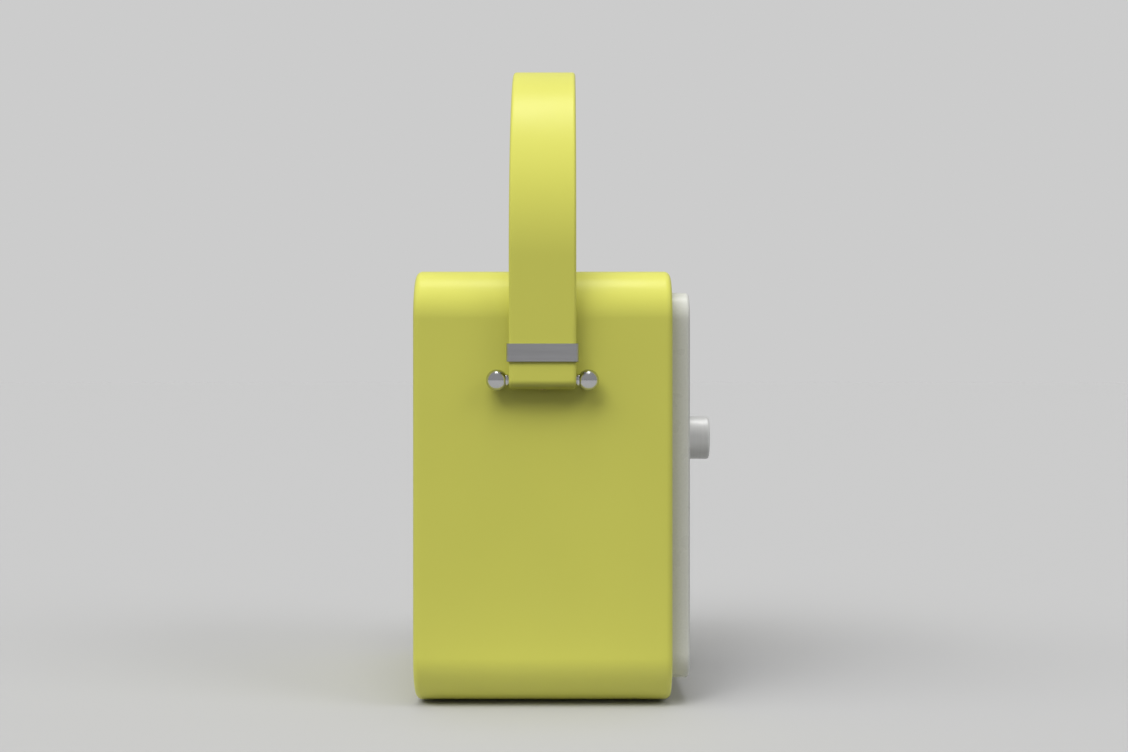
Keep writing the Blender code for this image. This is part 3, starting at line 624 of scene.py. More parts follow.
def cabinet():
    """The moulded sleeve with its front frame, screw bosses, foot pockets and pivot holes."""
    width, height, radius = PANEL_SHAPE
    window = (width - 2 * FRAME_STEP, height - 2 * FRAME_STEP, radius - FRAME_STEP)
    inner_edge = FRONT + EDGE_RADIUS
    loops = [rounded(*window, FRONT + 0.0005, steps=16)]
    loops += plate(window, [(-0.0005, FRONT)], steps=16)
    loops += plate(SHELL_SHAPE, quarter(EDGE_RADIUS, FRONT, steps=8), steps=16)
    loops += plate(SHELL_SHAPE, quarter(EDGE_RADIUS, REAR, -1, 8)[::-1], steps=16)
    lip = [(WALL - 0.0004, REAR), (WALL, REAR - 0.0004), (WALL, inner_edge)]
    loops += plate(SHELL_SHAPE, lip, steps=16)
    loops.append(rounded(*window, inner_edge, steps=16))
    tops = [(place.x, COVER_INNER - GAP, place.z) for place in SCREW_PLACES]
    bosses = [turned([(BOSS_RADIUS, -BOSS_LENGTH), (BOSS_RADIUS, 0)], top, TO_REAR, 32) for top in tops]
    pilot = [(PILOT_RADIUS, -PILOT_DEPTH), (PILOT_RADIUS, OVERCUT)]
    pilots = [turned(pilot, top, TO_REAR, 24) for top in tops]
    pocket = [(FOOT_RADIUS + GAP, -0.001), (FOOT_RADIUS + GAP, FOOT_POCKET)]
    pockets = [turned(pocket, (place.x, place.y, 0), UPWARD, 48) for place in FOOT_PLACES]
    hole = [(BUSH_RADIUS + GAP, -SIDE - 0.01), (BUSH_RADIUS + GAP, SIDE + 0.01)]
    holes = [turned(hole, pivot("handle_swing"), TO_RIGHT, 32)]
    piece("cabinet_case", [(loops, True)], "cabinet", "cabinet", ["cabinet_shell"],
          joins=[bosses], cuts=[pilots + pockets + holes])


def feet():
    """Round rubber feet with a shallow ring in the sole."""
    for i, place in enumerate(FOOT_PLACES):
        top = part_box(f"foot_{i + 1}")[1].z
        sole = [(0.0012, 0.0003), (0.0032, 0.0003), (0.0038, 0), (FOOT_RADIUS - 0.0005, 0)]
        outline = sole + [(FOOT_RADIUS, 0.0006), (FOOT_RADIUS, top)]
        loops = lathe(outline, 0.0003, 3, (place.x, place.y, 0), UPWARD, 48)
        piece(f"rubber_foot_{i + 1}", [loops], "rubber", "cabinet", [f"foot_{i + 1}"])


# --- Front panel ---

SLOT_COUNT = 10
SLOT_PITCH = 0.007
SLOT_LOW = 0.029
SLOT_SHAPE = (0.116, 0.0032, 0.00155)
CLOTH_MARGIN = 0.006
CLOTH_BULGE = 0.00012
CLOTH_THICKNESS = 0.0004
TUBE_WINDOW = (0.092, 0.07, 0.008)
PANEL_EDGE = 0.0015
TRAY_FLANGE = 0.0025
CHANNEL_AXIS = pivot("channel_turn")
CHANNEL_HOLE = 0.004
VOLUME_AXIS = pivot("volume_turn")
VOLUME_HOLE = 0.0033
POWER_CENTRE = (middle("power_button").x, middle("power_button").z)
BUTTON_SHAPE = (0.014, 0.007, 0.0023)


def panel():
    """The raised tray with its window, its louvre slots and the holes for the controls."""
    rim = FRAME_STEP + FIT
    inner = rim + TRAY_FLANGE
    profile = quarter(PANEL_EDGE, PANEL_FACE)
    profile += [(0, FRONT - GAP), (rim, FRONT - GAP), (rim, PANEL_HIGH.y), (inner, PANEL_HIGH.y)]
    profile.append((inner, PANEL_BACK))
    loops = plate(PANEL_SHAPE, profile, steps=14)
    depth = PANEL_SKIN + OVERCUT
    holes = [lipped_hole(TUBE_WINDOW, TUBE_CENTRE, PANEL_FACE, depth, 0.0007, 12)]
    for i in range(SLOT_COUNT):
        holes.append(lipped_hole(SLOT_SHAPE, (0, SLOT_LOW + i * SLOT_PITCH), PANEL_FACE, depth, 0.0005))
    for axis, radius in ((CHANNEL_AXIS, CHANNEL_HOLE), (VOLUME_AXIS, VOLUME_HOLE)):
        holes.append(lipped_hole(circle(radius), (axis.x, axis.z), PANEL_FACE, depth, 0.0003))
    button = (BUTTON_SHAPE[0] + 2 * GAP, BUTTON_SHAPE[1] + 2 * GAP, BUTTON_SHAPE[2] + GAP)
    holes.append(lipped_hole(button, POWER_CENTRE, PANEL_FACE, depth, 0.0004))
    piece("panel_tray", [loops], "panel", "cabinet", ["front_panel"], cuts=[holes])


def cloth():
    """The speaker cloth, stretched flat behind the slots and pressed forward a little in each."""
    low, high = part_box("speaker_cloth")
    across = 62
    up = 110
    bm = bmesh.new()
    rows = []
    for j in range(up + 1):
        z = low.z + (high.z - low.z) * j / up
        in_slot = max(0.0, cos(2 * pi * (z - SLOT_LOW) / SLOT_PITCH))
        row = []
        for i in range(across + 1):
            x = low.x + (high.x - low.x) * i / across
            edge = min(1.0, (x - low.x) / CLOTH_MARGIN, (high.x - x) / CLOTH_MARGIN)
            y = (low.y + high.y) / 2 - CLOTH_BULGE * edge * in_slot
            row.append(bm.verts.new((x, y, z)))
        rows.append(row)
    for first, second in zip(rows, rows[1:]):
        for i in range(across):
            bm.faces.new((first[i], first[i + 1], second[i + 1], second[i]))
    made = object_from("speaker_grille_cloth", bm)
    made.data.shade_smooth()
    body = made.modifiers.new("thickness", "SOLIDIFY")
    body.thickness = CLOTH_THICKNESS
    body.offset = 0
    dress(made, "cloth", "cabinet")
    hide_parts("speaker_cloth")


def screen():
    """The stepped surround with the clear guard in it."""
    # Width, height, corner radius and depth behind the panel's face, round the section.
    steps = [
        (0.0866, 0.0656, 0.0073, 0.0003), (0.0914, 0.0694, 0.0077, 0.0003),
        (0.0914, 0.0694, 0.0077, 0.0033), (0.096, 0.074, 0.01, 0.0033),
        (0.096, 0.074, 0.01, 0.0085), (0.08, 0.06, 0.006, 0.0085),
        (0.084, 0.063, 0.007, 0.003), (0.0866, 0.0656, 0.0073, 0.003),
    ]
    section = eased([(width, y) for width, _, _, y in steps], 0.0003, 3)
    loops = []
    for width, y in section:
        shape = bezel_shape(steps, width)
        loops.append(rounded(*shape, PANEL_FACE + y, TUBE_CENTRE))
    piece("screen_surround", [(loops, True)], "dark_plastic", "cabinet", ["screen_bezel"])
    guard = (0.086, 0.065, 0.007)
    profile = quarter(0.0005, PANEL_FACE + 0.0008, steps=4)
    profile += quarter(0.0002, PANEL_FACE + 0.0027, -1, 2)[::-1]
    piece("screen_window", [plate(guard, profile, TUBE_CENTRE)], "clear_sheet", "cabinet", ["screen_guard"])


def bezel_shape(steps, width):
    """The height and corner that go with a width of the surround, between its steps."""
    table = sorted({(w, h, r) for w, h, r, _ in steps})
    for (w0, h0, r0), (w1, h1, r1) in zip(table, table[1:]):
        if width <= w1 + 1e-9:
            share = (width - w0) / (w1 - w0)
            return width, h0 + (h1 - h0) * share, r0 + (r1 - r0) * share
    return table[-1]


TUBE_WIDTH = 0.088
TUBE_HEIGHT = 0.067
TUBE_CORNER = 0.009
TUBE_CROWN = 0.003
TUBE_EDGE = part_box("picture_tube")[0].y + TUBE_CROWN
TUBE_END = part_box("picture_tube")[1].y
SKIRT_END = 0.009
FUNNEL_END = 0.048
FUNNEL_FLARE = 1.8
FACE_RINGS = 25
NECK_RADIUS = 0.01


def tube():
    """The picture tube: crowned face, skirt, flared funnel and neck."""
    loops = []
    for i in range(1, FACE_RINGS):
        share = i / FACE_RINGS
        y = TUBE_EDGE - TUBE_CROWN * (1 - share * share)
        loops.append(rounded(TUBE_WIDTH * share, TUBE_HEIGHT * share, TUBE_CORNER * share, y, TUBE_CENTRE))
    loops += plate((TUBE_WIDTH, TUBE_HEIGHT, TUBE_CORNER), quarter(0.001, TUBE_EDGE), TUBE_CENTRE)
    for i in range(21):
        share = i / 20
        flare = (1 - share) ** FUNNEL_FLARE
        half_width = NECK_RADIUS + (TUBE_WIDTH / 2 - NECK_RADIUS) * flare
        half_height = NECK_RADIUS + (TUBE_HEIGHT / 2 - NECK_RADIUS) * flare
        corner = TUBE_CORNER * (1 - share) + half_height * share
        y = TUBE_EDGE + SKIRT_END + (FUNNEL_END - SKIRT_END) * share
        loops.append(rounded(2 * half_width, 2 * half_height, corner, y, TUBE_CENTRE))
    loops.append(rounded(2 * NECK_RADIUS, 2 * NECK_RADIUS, NECK_RADIUS, TUBE_END, TUBE_CENTRE))
    made = piece("tube_envelope", [loops], "tube_glass", "cabinet", ["picture_tube"])
    made.data.materials.append(FINISH["tube_coat"])
    for face in made.data.polygons:
        face.material_index = int(face.center.y > TUBE_EDGE + SKIRT_END)


# --- Controls ---

KNOB_RADIUS = size("channel_knob").x / 2
KNOB_LENGTH = PANEL_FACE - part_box("channel_knob")[0].y
FIRST_CHANNEL = 2
CHANNEL_COUNT = 12


def marked_knob(name, mark, node, body, loops, axis, near, far, half_width):
    """A knob with a painted line in a groove on its face, from near to far above its axis."""
    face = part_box(node)[0].y
    low = Vector((axis.x - half_width, face - 0.0004, axis.z + near))
    high = Vector((axis.x + half_width, face + 0.0012, axis.z + far))
    piece(name, [loops], "knob", body, [node], cuts=[[block(low, high, 0.0002)]])
    low += Vector((0.00015, 0.0012, 0.0003))
    high -= Vector((0.00015, 0.0001, 0.0003))
    line = object_of(mark, [block(low, high, 0.00005, 2)])
    smooth(line)
    dress(line, "ink", body)


def channel_knob():
    """A long smooth knob with a shallow dished face and a pointer groove."""
    outline = [
        (0.0008, KNOB_LENGTH - 0.0009), (0.0078, KNOB_LENGTH - 0.0005), (0.0094, KNOB_LENGTH),
        (KNOB_RADIUS, KNOB_LENGTH - 0.0003), (KNOB_RADIUS, 0.0005), (0.0034, 0.0005), (0.0034, 0.013),
    ]
    easing = [0, 0.0012, 0.0009, 0.0012, 0.0004, 0.0003, 0]
    loops = lathe(outline, easing, 6, (CHANNEL_AXIS.x, PANEL_FACE, CHANNEL_AXIS.z), TO_FRONT, 96)
    marked_knob("selector_knob", "selector_pointer", "channel_knob", "channel_selector", loops,
                CHANNEL_AXIS, 0.0035, 0.0105, 0.0006)


def volume_knob():
    """A low knob with a finely ribbed rim and its own spindle."""
    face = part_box("volume_knob")[0].y
    top = PANEL_FACE - face
    radius = size("volume_knob").x / 2
    outline = [
        (0.0006, top - 0.0006), (0.0056, top - 0.0003), (0.0068, top), (radius, top - 0.0004),
        (radius, 0.0004), (0.0025, 0.0004), (0.0025, -0.0085),
    ]
    easing = [0, 0.001, 0.0007, 0.001, 0.0003, 0.0003, 0]
    place = (VOLUME_AXIS.x, PANEL_FACE, VOLUME_AXIS.z)
    loops = lathe(outline, easing, 5, place, TO_FRONT, 144)
    serrate(loops, place, radius - 0.0002, face + 0.0012, PANEL_FACE - 0.001, (3, 1), 0.00018)
    marked_knob("volume_dial", "volume_pointer", "volume_knob", "volume_knob", loops,
                VOLUME_AXIS, 0.0026, 0.0064, 0.0005)


def power_button():
    """A rectangular push button with a dished face, a flange behind the panel and a stem."""
    low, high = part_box("power_button")
    x, z = POWER_CENTRE
    profile = [(0.002, low.y + 0.0004), (0.0012, low.y + 0.0001), (0.0008, low.y)]
    profile += quarter(0.0005, low.y) + [(0, PANEL_FACE + 0.0036)]
    loops = plate(BUTTON_SHAPE, profile, POWER_CENTRE, 6)
    flange = block((x - 0.0085, PANEL_FACE + 0.0034, z - 0.005),
                   (x + 0.0085, PANEL_FACE + 0.0046, z + 0.005), 0.0002)
    stem = block((x - 0.0025, PANEL_FACE + 0.004, z - 0.0025), (x + 0.0025, high.y, z + 0.0025), 0.0002)
    piece("power_key", [loops], "knob", "power_button", ["power_button"], joins=[[flange], [stem]])


NUMBER_RING = 0.0146
NUMBER_HEIGHT = 0.0026
PRINT_DEPTH = 0.00012
DOT_RING = 0.0106
DOT_COUNT = 9


def dial_marks():
    """Channel numbers round the selector, and dots that grow round the volume knob."""
    bm = bmesh.new()
    face = PANEL_FACE - PRINT_DEPTH / 2
    for i in range(CHANNEL_COUNT):
        angle = pi / 2 - 2 * pi * i / CHANNEL_COUNT
        add_number(bm, str(FIRST_CHANNEL + i), CHANNEL_AXIS, angle)
    for i in range(DOT_COUNT):
        angle = radians(240 - 300 * i / (DOT_COUNT - 1))
        place = (VOLUME_AXIS.x + DOT_RING * cos(angle), face, VOLUME_AXIS.z + DOT_RING * sin(angle))
        radius = 0.0003 + 0.00004 * i
        add_skin(bm, turned([(radius, 0), (radius, PRINT_DEPTH)], place, TO_REAR, 20))
    bmesh.ops.recalc_face_normals(bm, faces=bm.faces)
    dress(object_from("dial_marks", bm), "ink", "cabinet")


def add_number(bm, text, axis, angle):
    """One printed number, centred on the ring round an axis."""
    curve = bpy.data.curves.new("number", "FONT")
    curve.body = text
    curve.size = NUMBER_HEIGHT
    curve.align_x = "CENTER"
    curve.align_y = "CENTER"
    curve.extrude = PRINT_DEPTH / 2
    curve.resolution_u = 6
    made = linked("number", curve)
    made.location = (axis.x + NUMBER_RING * cos(angle), PANEL_FACE, axis.z + NUMBER_RING * sin(angle))
    made.rotation_euler = (pi / 2, 0, 0)
    bpy.context.view_layer.update()
    mesh = bpy.data.meshes.new_from_object(made.evaluated_get(bpy.context.evaluated_depsgraph_get()))
    mesh.transform(made.matrix_world)
    bm.from_mesh(mesh)
    bpy.data.meshes.remove(mesh)
    bpy.data.objects.remove(made)
    bpy.data.curves.remove(curve)


# --- Rear ---

VENT_ROWS = 6
VENT_LOW = 0.135
VENT_PITCH = 0.009
VENT_SHAPE = (0.048, 0.003, 0.0014)
SOCKET_HEIGHT = middle("power_inlet").z
HINGE_PIN_RADIUS = 0.0007
RIB_COUNT = 9
RIB_LOW = 0.0285
RIB_PITCH = 0.0022
DOOR_AXIS = pivot("battery_door_hinge")
DOOR_LOW, DOOR_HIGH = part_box("battery_door")
OPENING_HALF = 0.062
OPENING_SILL = 0.017
OPENING_LINTEL = 0.083
HOLDS = {"vertical": pivot("vertical_hold_turn"), "horizontal": pivot("horizontal_hold_turn")}
SCREW_HEAD = 0.0029
SCREW_SHANK = 0.0015
SEAT_RADIUS = 0.0033
SEAT_DEPTH = 0.0016
SOCKET_HOLE = 0.005
EARPHONE_HOLE = 0.0042


def back_cover():
    """The rear lid with its vents, battery opening, socket holes and screw seats."""
    edge = WALL + FIT
    profile = [(edge + amount, y) for amount, y in quarter(0.0008, COVER_OUTER, -1, 5)]
    profile.append((edge, COVER_INNER))
    loops = plate(SHELL_SHAPE, profile, steps=14)
    depth = COVER_OUTER - COVER_INNER + OVERCUT
    cuts = []
    for x in (-0.03, 0.03):
        for row in range(VENT_ROWS):
            place = (x, VENT_LOW + row * VENT_PITCH)
            cuts.append(lipped_hole(VENT_SHAPE, place, COVER_OUTER, depth, 0.0004, way=-1))
    centres = [middle("aerial_socket"), middle("power_inlet"), *HOLDS.values()]
    holes = [(middle("earphone_socket").x, EARPHONE_HOLE)] + [(place.x, SOCKET_HOLE) for place in centres]
    for x, radius in holes:
        cuts.append(lipped_hole(circle(radius), (x, SOCKET_HEIGHT), COVER_OUTER, depth, 0.0003, 8, way=-1))
    seat = [
        (PILOT_RADIUS, COVER_INNER - OVERCUT), (PILOT_RADIUS, COVER_OUTER - SEAT_DEPTH),
        (SEAT_RADIUS, COVER_OUTER - SEAT_DEPTH), (SEAT_RADIUS, COVER_OUTER - 0.0003),
        (SEAT_RADIUS + 0.0003, COVER_OUTER), (SEAT_RADIUS + 0.0003, COVER_OUTER + OVERCUT),
    ]
    cuts += [turned(seat, (place.x, 0, place.z), TO_REAR, 32) for place in SCREW_PLACES]
    room = block((-OPENING_HALF, COVER_INNER - OVERCUT, OPENING_SILL),
                 (OPENING_HALF, COVER_OUTER + OVERCUT, OPENING_LINTEL))
    reach = OPENING_HALF + OVERCUT
    bearing = [(HINGE_PIN_RADIUS + GAP, -reach), (HINGE_PIN_RADIUS + GAP, reach)]
    piece("back_cover", [loops], "cabinet", "cabinet", ["rear_cover"],
          cuts=[cuts, [room], [turned(bearing, DOOR_AXIS, TO_RIGHT, 20)]])


def battery_door():
    """The flap with gripping ribs, a finger scoop at its top and two small hinge pins."""
    thickness = (DOOR_HIGH.y - DOOR_LOW.y) / 2
    half = OPENING_HALF - GAP
    angles = [pi + pi * i / 16 for i in range(17)]
    section = [(DOOR_AXIS.y + thickness * cos(a), DOOR_AXIS.z + thickness * sin(a)) for a in angles]
    top = [(DOOR_HIGH.y, DOOR_HIGH.z), (DOOR_LOW.y, DOOR_HIGH.z)]
    corners = eased([section[-1], *top, section[0]], 0.0003, 3, closed=False)
    section += corners[1:-1]
    ends = (-half, -half + 0.0002, half - 0.0002, half)
    loops = [[Vector((x, y, z)) for y, z in section] for x in ends]
    rib = [(0.0004, -0.03), (0.0005, -0.0296), (0.0005, 0.0296), (0.0004, 0.03)]
    heights = [RIB_LOW + i * RIB_PITCH for i in range(RIB_COUNT)]
    ribs = [lathe(rib, 0.0001, 2, (0, DOOR_HIGH.y - 0.0001, z), TO_RIGHT, 16) for z in heights]
    scoop = turned([(0.009, -0.0004), (0.0094, 0.001)], (0, DOOR_HIGH.y - 0.0003, DOOR_HIGH.z), TO_REAR, 48)
    tip = HINGE_PIN_RADIUS - 0.0001
    pin = [(tip, -half - 0.0015), (HINGE_PIN_RADIUS, -half - 0.0013)]
    pin += [(HINGE_PIN_RADIUS, half + 0.0013), (tip, half + 0.0015)]
    pins = turned(pin, DOOR_AXIS, TO_RIGHT, 20)
    piece("battery_flap", [loops], "cabinet", "battery_door", ["battery_door"],
          joins=[[pins], ribs], cuts=[[scoop]])


def screws():
    """Domed cross-head screws."""
    for i, place in enumerate(SCREW_PLACES):
        low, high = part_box(f"cover_screw_{i + 1}")
        outline = [
            (0.0002, high.y), (0.0022, high.y - 0.0003), (SCREW_HEAD, high.y - 0.001),
            (SCREW_HEAD, high.y - 0.0018), (SCREW_SHANK, high.y - 0.0018), (SCREW_SHANK, low.y + 0.0012),
            (0.0004, low.y),
        ]
        easing = [0, 0.0008, 0.0003, 0.0002, 0.0002, 0, 0]
        loops = lathe(outline, easing, 4, (place.x, 0, place.z), TO_REAR, 40)
        arms = []
        for dx, dz in ((0.0016, 0.0004), (0.0004, 0.0016)):
            corner = (place.x - dx, high.y - 0.0011, place.z - dz)
            arms.append([block(corner, (place.x + dx, high.y + 0.001, place.z + dz), 0.0001, 2)])
        piece(f"cross_screw_{i + 1}", [loops], "plated_steel", "cabinet", [f"cover_screw_{i + 1}"],
              cuts=arms)


def hold_knobs():
    """Two small serrated knobs with a driver slot, for the picture holds."""
    for kind, place in HOLDS.items():
        low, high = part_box(f"{kind}_hold_knob")
        neck = high.y - 0.0065
        outline = [(0.0003, high.y), (0.0045, high.y), (0.0045, neck), (0.0015, neck), (0.0015, low.y)]
        centre = (place.x, 0, place.z)
        loops = lathe(outline, [0, 0.0006, 0.0002, 0.0002, 0], 4, centre, TO_REAR, 72)
        serrate(loops, centre, 0.0044, low.y - 0.001, high.y - 0.0005, (4, 2), 0.00022)
        slot = block((place.x - 0.0035, high.y - 0.0009, place.z - 0.00045),
                     (place.x + 0.0035, high.y + 0.001, place.z + 0.00045), 0.0001, 2)
        piece(f"{kind}_hold_dial", [loops], "dark_plastic", f"{kind}_hold", [f"{kind}_hold_knob"],
              cuts=[[slot]])


def sockets():
    """The aerial, power and earphone sockets behind the cover, the power inlet with its pin."""
    # Node, radius of the body, of the nose and of the bore, slot, and radius of the pin if it has one.
    kinds = [("aerial_socket", 0.0065, 0.0046, 0.002, "plated_steel", 0),
             ("power_inlet", 0.0062, 0.0046, 0.0027, "dark_plastic", 0.0007),
             ("earphone_socket", 0.0055, 0.0038, 0.0018, "dark_plastic", 0)]
    for node, body, nose, bore, slot, pin in kinds:
        low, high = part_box(node)
        front = high.y
        step = front - 0.0042
        outline = [(bore, front), (nose, front), (nose, step), (body, step), (body, low.y)]
        easing = [0.0003, 0.0004, 0.0002, 0.0003, 0.0002]
        if pin:
            tip = front - 0.0014
            floor_y = front - 0.0094
            outline = [(0.0002, tip), (pin, tip), (pin, floor_y), (bore, floor_y)] + outline
            profile = eased(outline, [0, 0.0003, 0.0001, 0.0002] + easing[:-1] + [0], 3, closed=False)
        else:
            profile = eased(outline + [(bore, low.y)], easing + [0.0002], 3)
        loops = turned(profile, (middle(node).x, 0, middle(node).z), TO_REAR, 40)
        piece(f"{node}_body", [(loops, not pin)], slot, "cabinet", [node])


def battery_cells():
    """Four round cells with a plain jacket, crimped ends and a metal cap."""
    for i in (1, 2, 3, 4):
        node = f"battery_cell_{i}"
        low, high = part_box(node)
        radius = (high.z - low.z) / 2
        length = high.x - low.x
        right = middle(node).x > 0
        start = low.x if right else high.x
        outline = [
            (0.009, 0.0003), (0.013, 0), (radius - 0.0003, 0.0004), (radius - 0.0004, 0.0016),
            (radius, 0.0022), (radius, length - 0.004), (radius - 0.0004, length - 0.0034),
            (radius - 0.0006, length - 0.0021), (0.0058, length - 0.0021), (0.0048, length - 0.0018),
            (0.0046, length),
        ]
        place = (start, middle(node).y, middle(node).z)
        loops = lathe(outline, 0.0005, 4, place, TO_RIGHT if right else TO_LEFT, 64)
        made = piece(f"round_cell_{i}", [loops], "cell", "cabinet", [node])
        made.data.materials.append(FINISH["plated_steel"])
        for face in made.data.polygons:
            along = abs(face.center.x - start)
            face.material_index = int(along < 0.002 or along > length - 0.0036)


# --- Handle ---

STRAP_LOW, STRAP_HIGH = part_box("handle_strap")
STRAP_FACE = STRAP_HIGH.x
STRAP_WIDTH = STRAP_HIGH.y - STRAP_LOW.y
STRAP_TOP = STRAP_HIGH.z
ARCH_RISE = 0.098
STRAP_THICKNESS = 0.0032
LOOP_THICKNESS = 0.0018
STRAP_EDGE = 0.0015
BAR_RADIUS = 0.002
LOOP_RADIUS = BAR_RADIUS + GAP + LOOP_THICKNESS
BAR_X = STRAP_FACE - LOOP_RADIUS
HANDLE_AXIS = pivot("handle_swing")
KEEPER_LOW, KEEPER_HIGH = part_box("keeper_right")
STUD_RADIUS = 0.0023
STUD_SLOT = 0.0033


def strap_stations():
    """(outer, inner) pairs of (x, z) down the right half of the strap, from its top to its end."""
    pairs = []
    for i in range(65):
        angle = pi / 2 * (1 - i / 64)
        outer = (STRAP_FACE * cos(angle), STRAP_TOP - ARCH_RISE * (1 - sin(angle)))
        normal = (ARCH_RISE * cos(angle), STRAP_FACE * sin(angle))
        depth = STRAP_THICKNESS / hypot(*normal)
        pairs.append((outer, (outer[0] - depth * normal[0], outer[1] - depth * normal[1])))
    thin_z = KEEPER_HIGH.z + 0.002
    for i in range(11):
        share = i / 10
        thickness = STRAP_THICKNESS + (LOOP_THICKNESS - STRAP_THICKNESS) * share * share * (3 - 2 * share)
        z = thin_z + 0.012 * (1 - share)
        pairs.append(((STRAP_FACE, z), (STRAP_FACE - thickness, z)))
    for z in (HANDLE_AXIS.z + 0.01, HANDLE_AXIS.z + 0.004, HANDLE_AXIS.z + 0.002):
        pairs.append(((STRAP_FACE, z), (STRAP_FACE - LOOP_THICKNESS, z)))
    # The loop runs under the bar and leaves it on a tangent to the point where the layers meet.
    centre_radius = LOOP_RADIUS - LOOP_THICKNESS / 2
    meet = (STRAP_FACE - 1.5 * LOOP_THICKNESS - GAP - BAR_X, 0.008)
    tangent = atan2(meet[1], meet[0]) + acos(centre_radius / hypot(*meet))
    sweep = 2 * pi - tangent
    for i in range(37):
        angle = -sweep * i / 36
        radii = (LOOP_RADIUS, LOOP_RADIUS - LOOP_THICKNESS)
        pairs.append([(BAR_X + r * cos(angle), HANDLE_AXIS.z + r * sin(angle)) for r in radii])
    end_x = BAR_X + meet[0]
    for z in (HANDLE_AXIS.z + meet[1] + 0.0006, KEEPER_HIGH.z - 0.0005 - 0.0004):
        pairs.append(((end_x - LOOP_THICKNESS / 2, z), (end_x + LOOP_THICKNESS / 2, z)))
    return pairs


def strap_section(outer, inner, sign):
    """The section across the strap at one station; its round edges take in most of its thickness."""
    outer, inner = Vector(outer), Vector(inner)
    thickness = (outer - inner).length
    up = (outer - inner) / thickness
    outer_deep = min(STRAP_EDGE, 0.8 * thickness)
    inner_deep = min(STRAP_EDGE, 0.95 * thickness - outer_deep)
    wide = STRAP_EDGE * (STRAP_THICKNESS / thickness) ** 0.6
    section = []
    for turn, (inward, side) in enumerate(((1, 1), (-1, 1), (-1, -1), (1, -1))):
        deep = outer_deep if inward > 0 else inner_deep
        for i in range(9):
            angle = (turn + i / 8) * pi / 2
            depth = (thickness - deep if inward > 0 else deep) + deep * cos(angle)
            across = side * (STRAP_WIDTH / 2 - wide) + wide * sin(angle)
            point = inner + up * depth
            section.append(Vector((sign * point.x, HANDLE_AXIS.y + across, point.y)))
    return section


def strap():
    """The moulded strap: an arch with straight legs that loop round the cross bars."""
    pairs = strap_stations()
    right = [strap_section(outer, inner, 1) for outer, inner in pairs]
    left = [strap_section(outer, inner, -1) for outer, inner in pairs[1:]]
    slots = []
    for _, sign, _ in HANDS:
        inner, outer = sorted((sign * (SIDE + 0.0005), sign * BAR_X))
        slots.append(block((inner, HANDLE_AXIS.y - STUD_SLOT, HANDLE_AXIS.z - STUD_SLOT),
                           (outer, HANDLE_AXIS.y + STUD_SLOT, HANDLE_AXIS.z + STUD_SLOT), 0.0003))
    piece("carrying_strap", [left[::-1] + right], "strap", "handle", ["handle_strap"],
          cuts=[slots], sharp=40)


COLLAR_RADIUS = 0.0027
KEEPER_GAUGE = 0.0007
KEEPER_BEND = 0.002


def keepers():
    """The flat steel bands that clamp the strap's returned ends."""
    low, high = KEEPER_LOW, KEEPER_HIGH
    for side, sign, _ in HANDS:
        section = eased([(0, low.z), (0, high.z), (KEEPER_GAUGE, high.z), (KEEPER_GAUGE, low.z)], 0.00018, 3)
        loops = []
        for amount, z in section:
            corners = [(low.x + amount, low.y + amount), (high.x - amount, low.y + amount),
                       (high.x - amount, high.y - amount), (low.x + amount, high.y - amount)]
            outline = eased(corners, KEEPER_BEND - amount, 8)
            loops.append([Vector((sign * x, y, z)) for x, y in outline])
        piece(f"strap_keeper_{side}", [(loops, True)], "satin_steel", "handle", [f"keeper_{side}"])


def cross_bars():
    """Each cross bar with its stud, and the polished balls on its ends."""
    for side, sign, outward in HANDS:
        low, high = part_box(f"pivot_bar_{side}")
        centre = (sign * BAR_X, 0, HANDLE_AXIS.z)
        outline = [(0.0003, low.y), (BAR_RADIUS, low.y), (BAR_RADIUS, high.y), (0.0003, high.y)]
        bar = lathe(outline, 0.0003, 4, centre, TO_REAR, 40)
        stud_end = low.x if sign > 0 else -high.x
        length = BAR_X - 0.0006 - stud_end
        shape = [(STUD_RADIUS - 0.0003, 0), (STUD_RADIUS, 0.0003), (STUD_RADIUS, length)]
        stud = turned(shape, (sign * stud_end, HANDLE_AXIS.y, HANDLE_AXIS.z), outward, 40)
        piece(f"cross_bar_{side}", [bar], "chrome", "handle", [f"pivot_bar_{side}"], joins=[[stud]])
        for end, direction in (("front", TO_FRONT), ("rear", TO_REAR)):
            ball(f"{side}_{end}", direction)


def ball(where, direction):
    """A polished ball, bored for its bar, with a short collar towards the strap."""
    node = f"ball_{where}"
    low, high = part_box(node)
    radius = (high.z - low.z) / 2
    bore = BAR_RADIUS + GAP
    centre = middle(node)
    centre.y = high.y - radius if direction is TO_REAR else low.y + radius
    start = acos(COLLAR_RADIUS / radius)
    collar_end = -(abs(centre.y - HANDLE_AXIS.y) - STRAP_WIDTH / 2 - GAP)
    collar = [(bore, 0.0018), (bore, collar_end), (COLLAR_RADIUS, collar_end), (COLLAR_RADIUS, 0)]
    profile = eased(collar, 0.0002, 3, closed=False)[:-1]
    for i in range(29):
        angle = -start + i * (start + radians(88.5)) / 28
        profile.append((radius * cos(angle), radius * sin(angle)))
    piece(f"end_ball_{where}", [turned(profile, centre, direction, 56)], "chrome", "handle", [node])


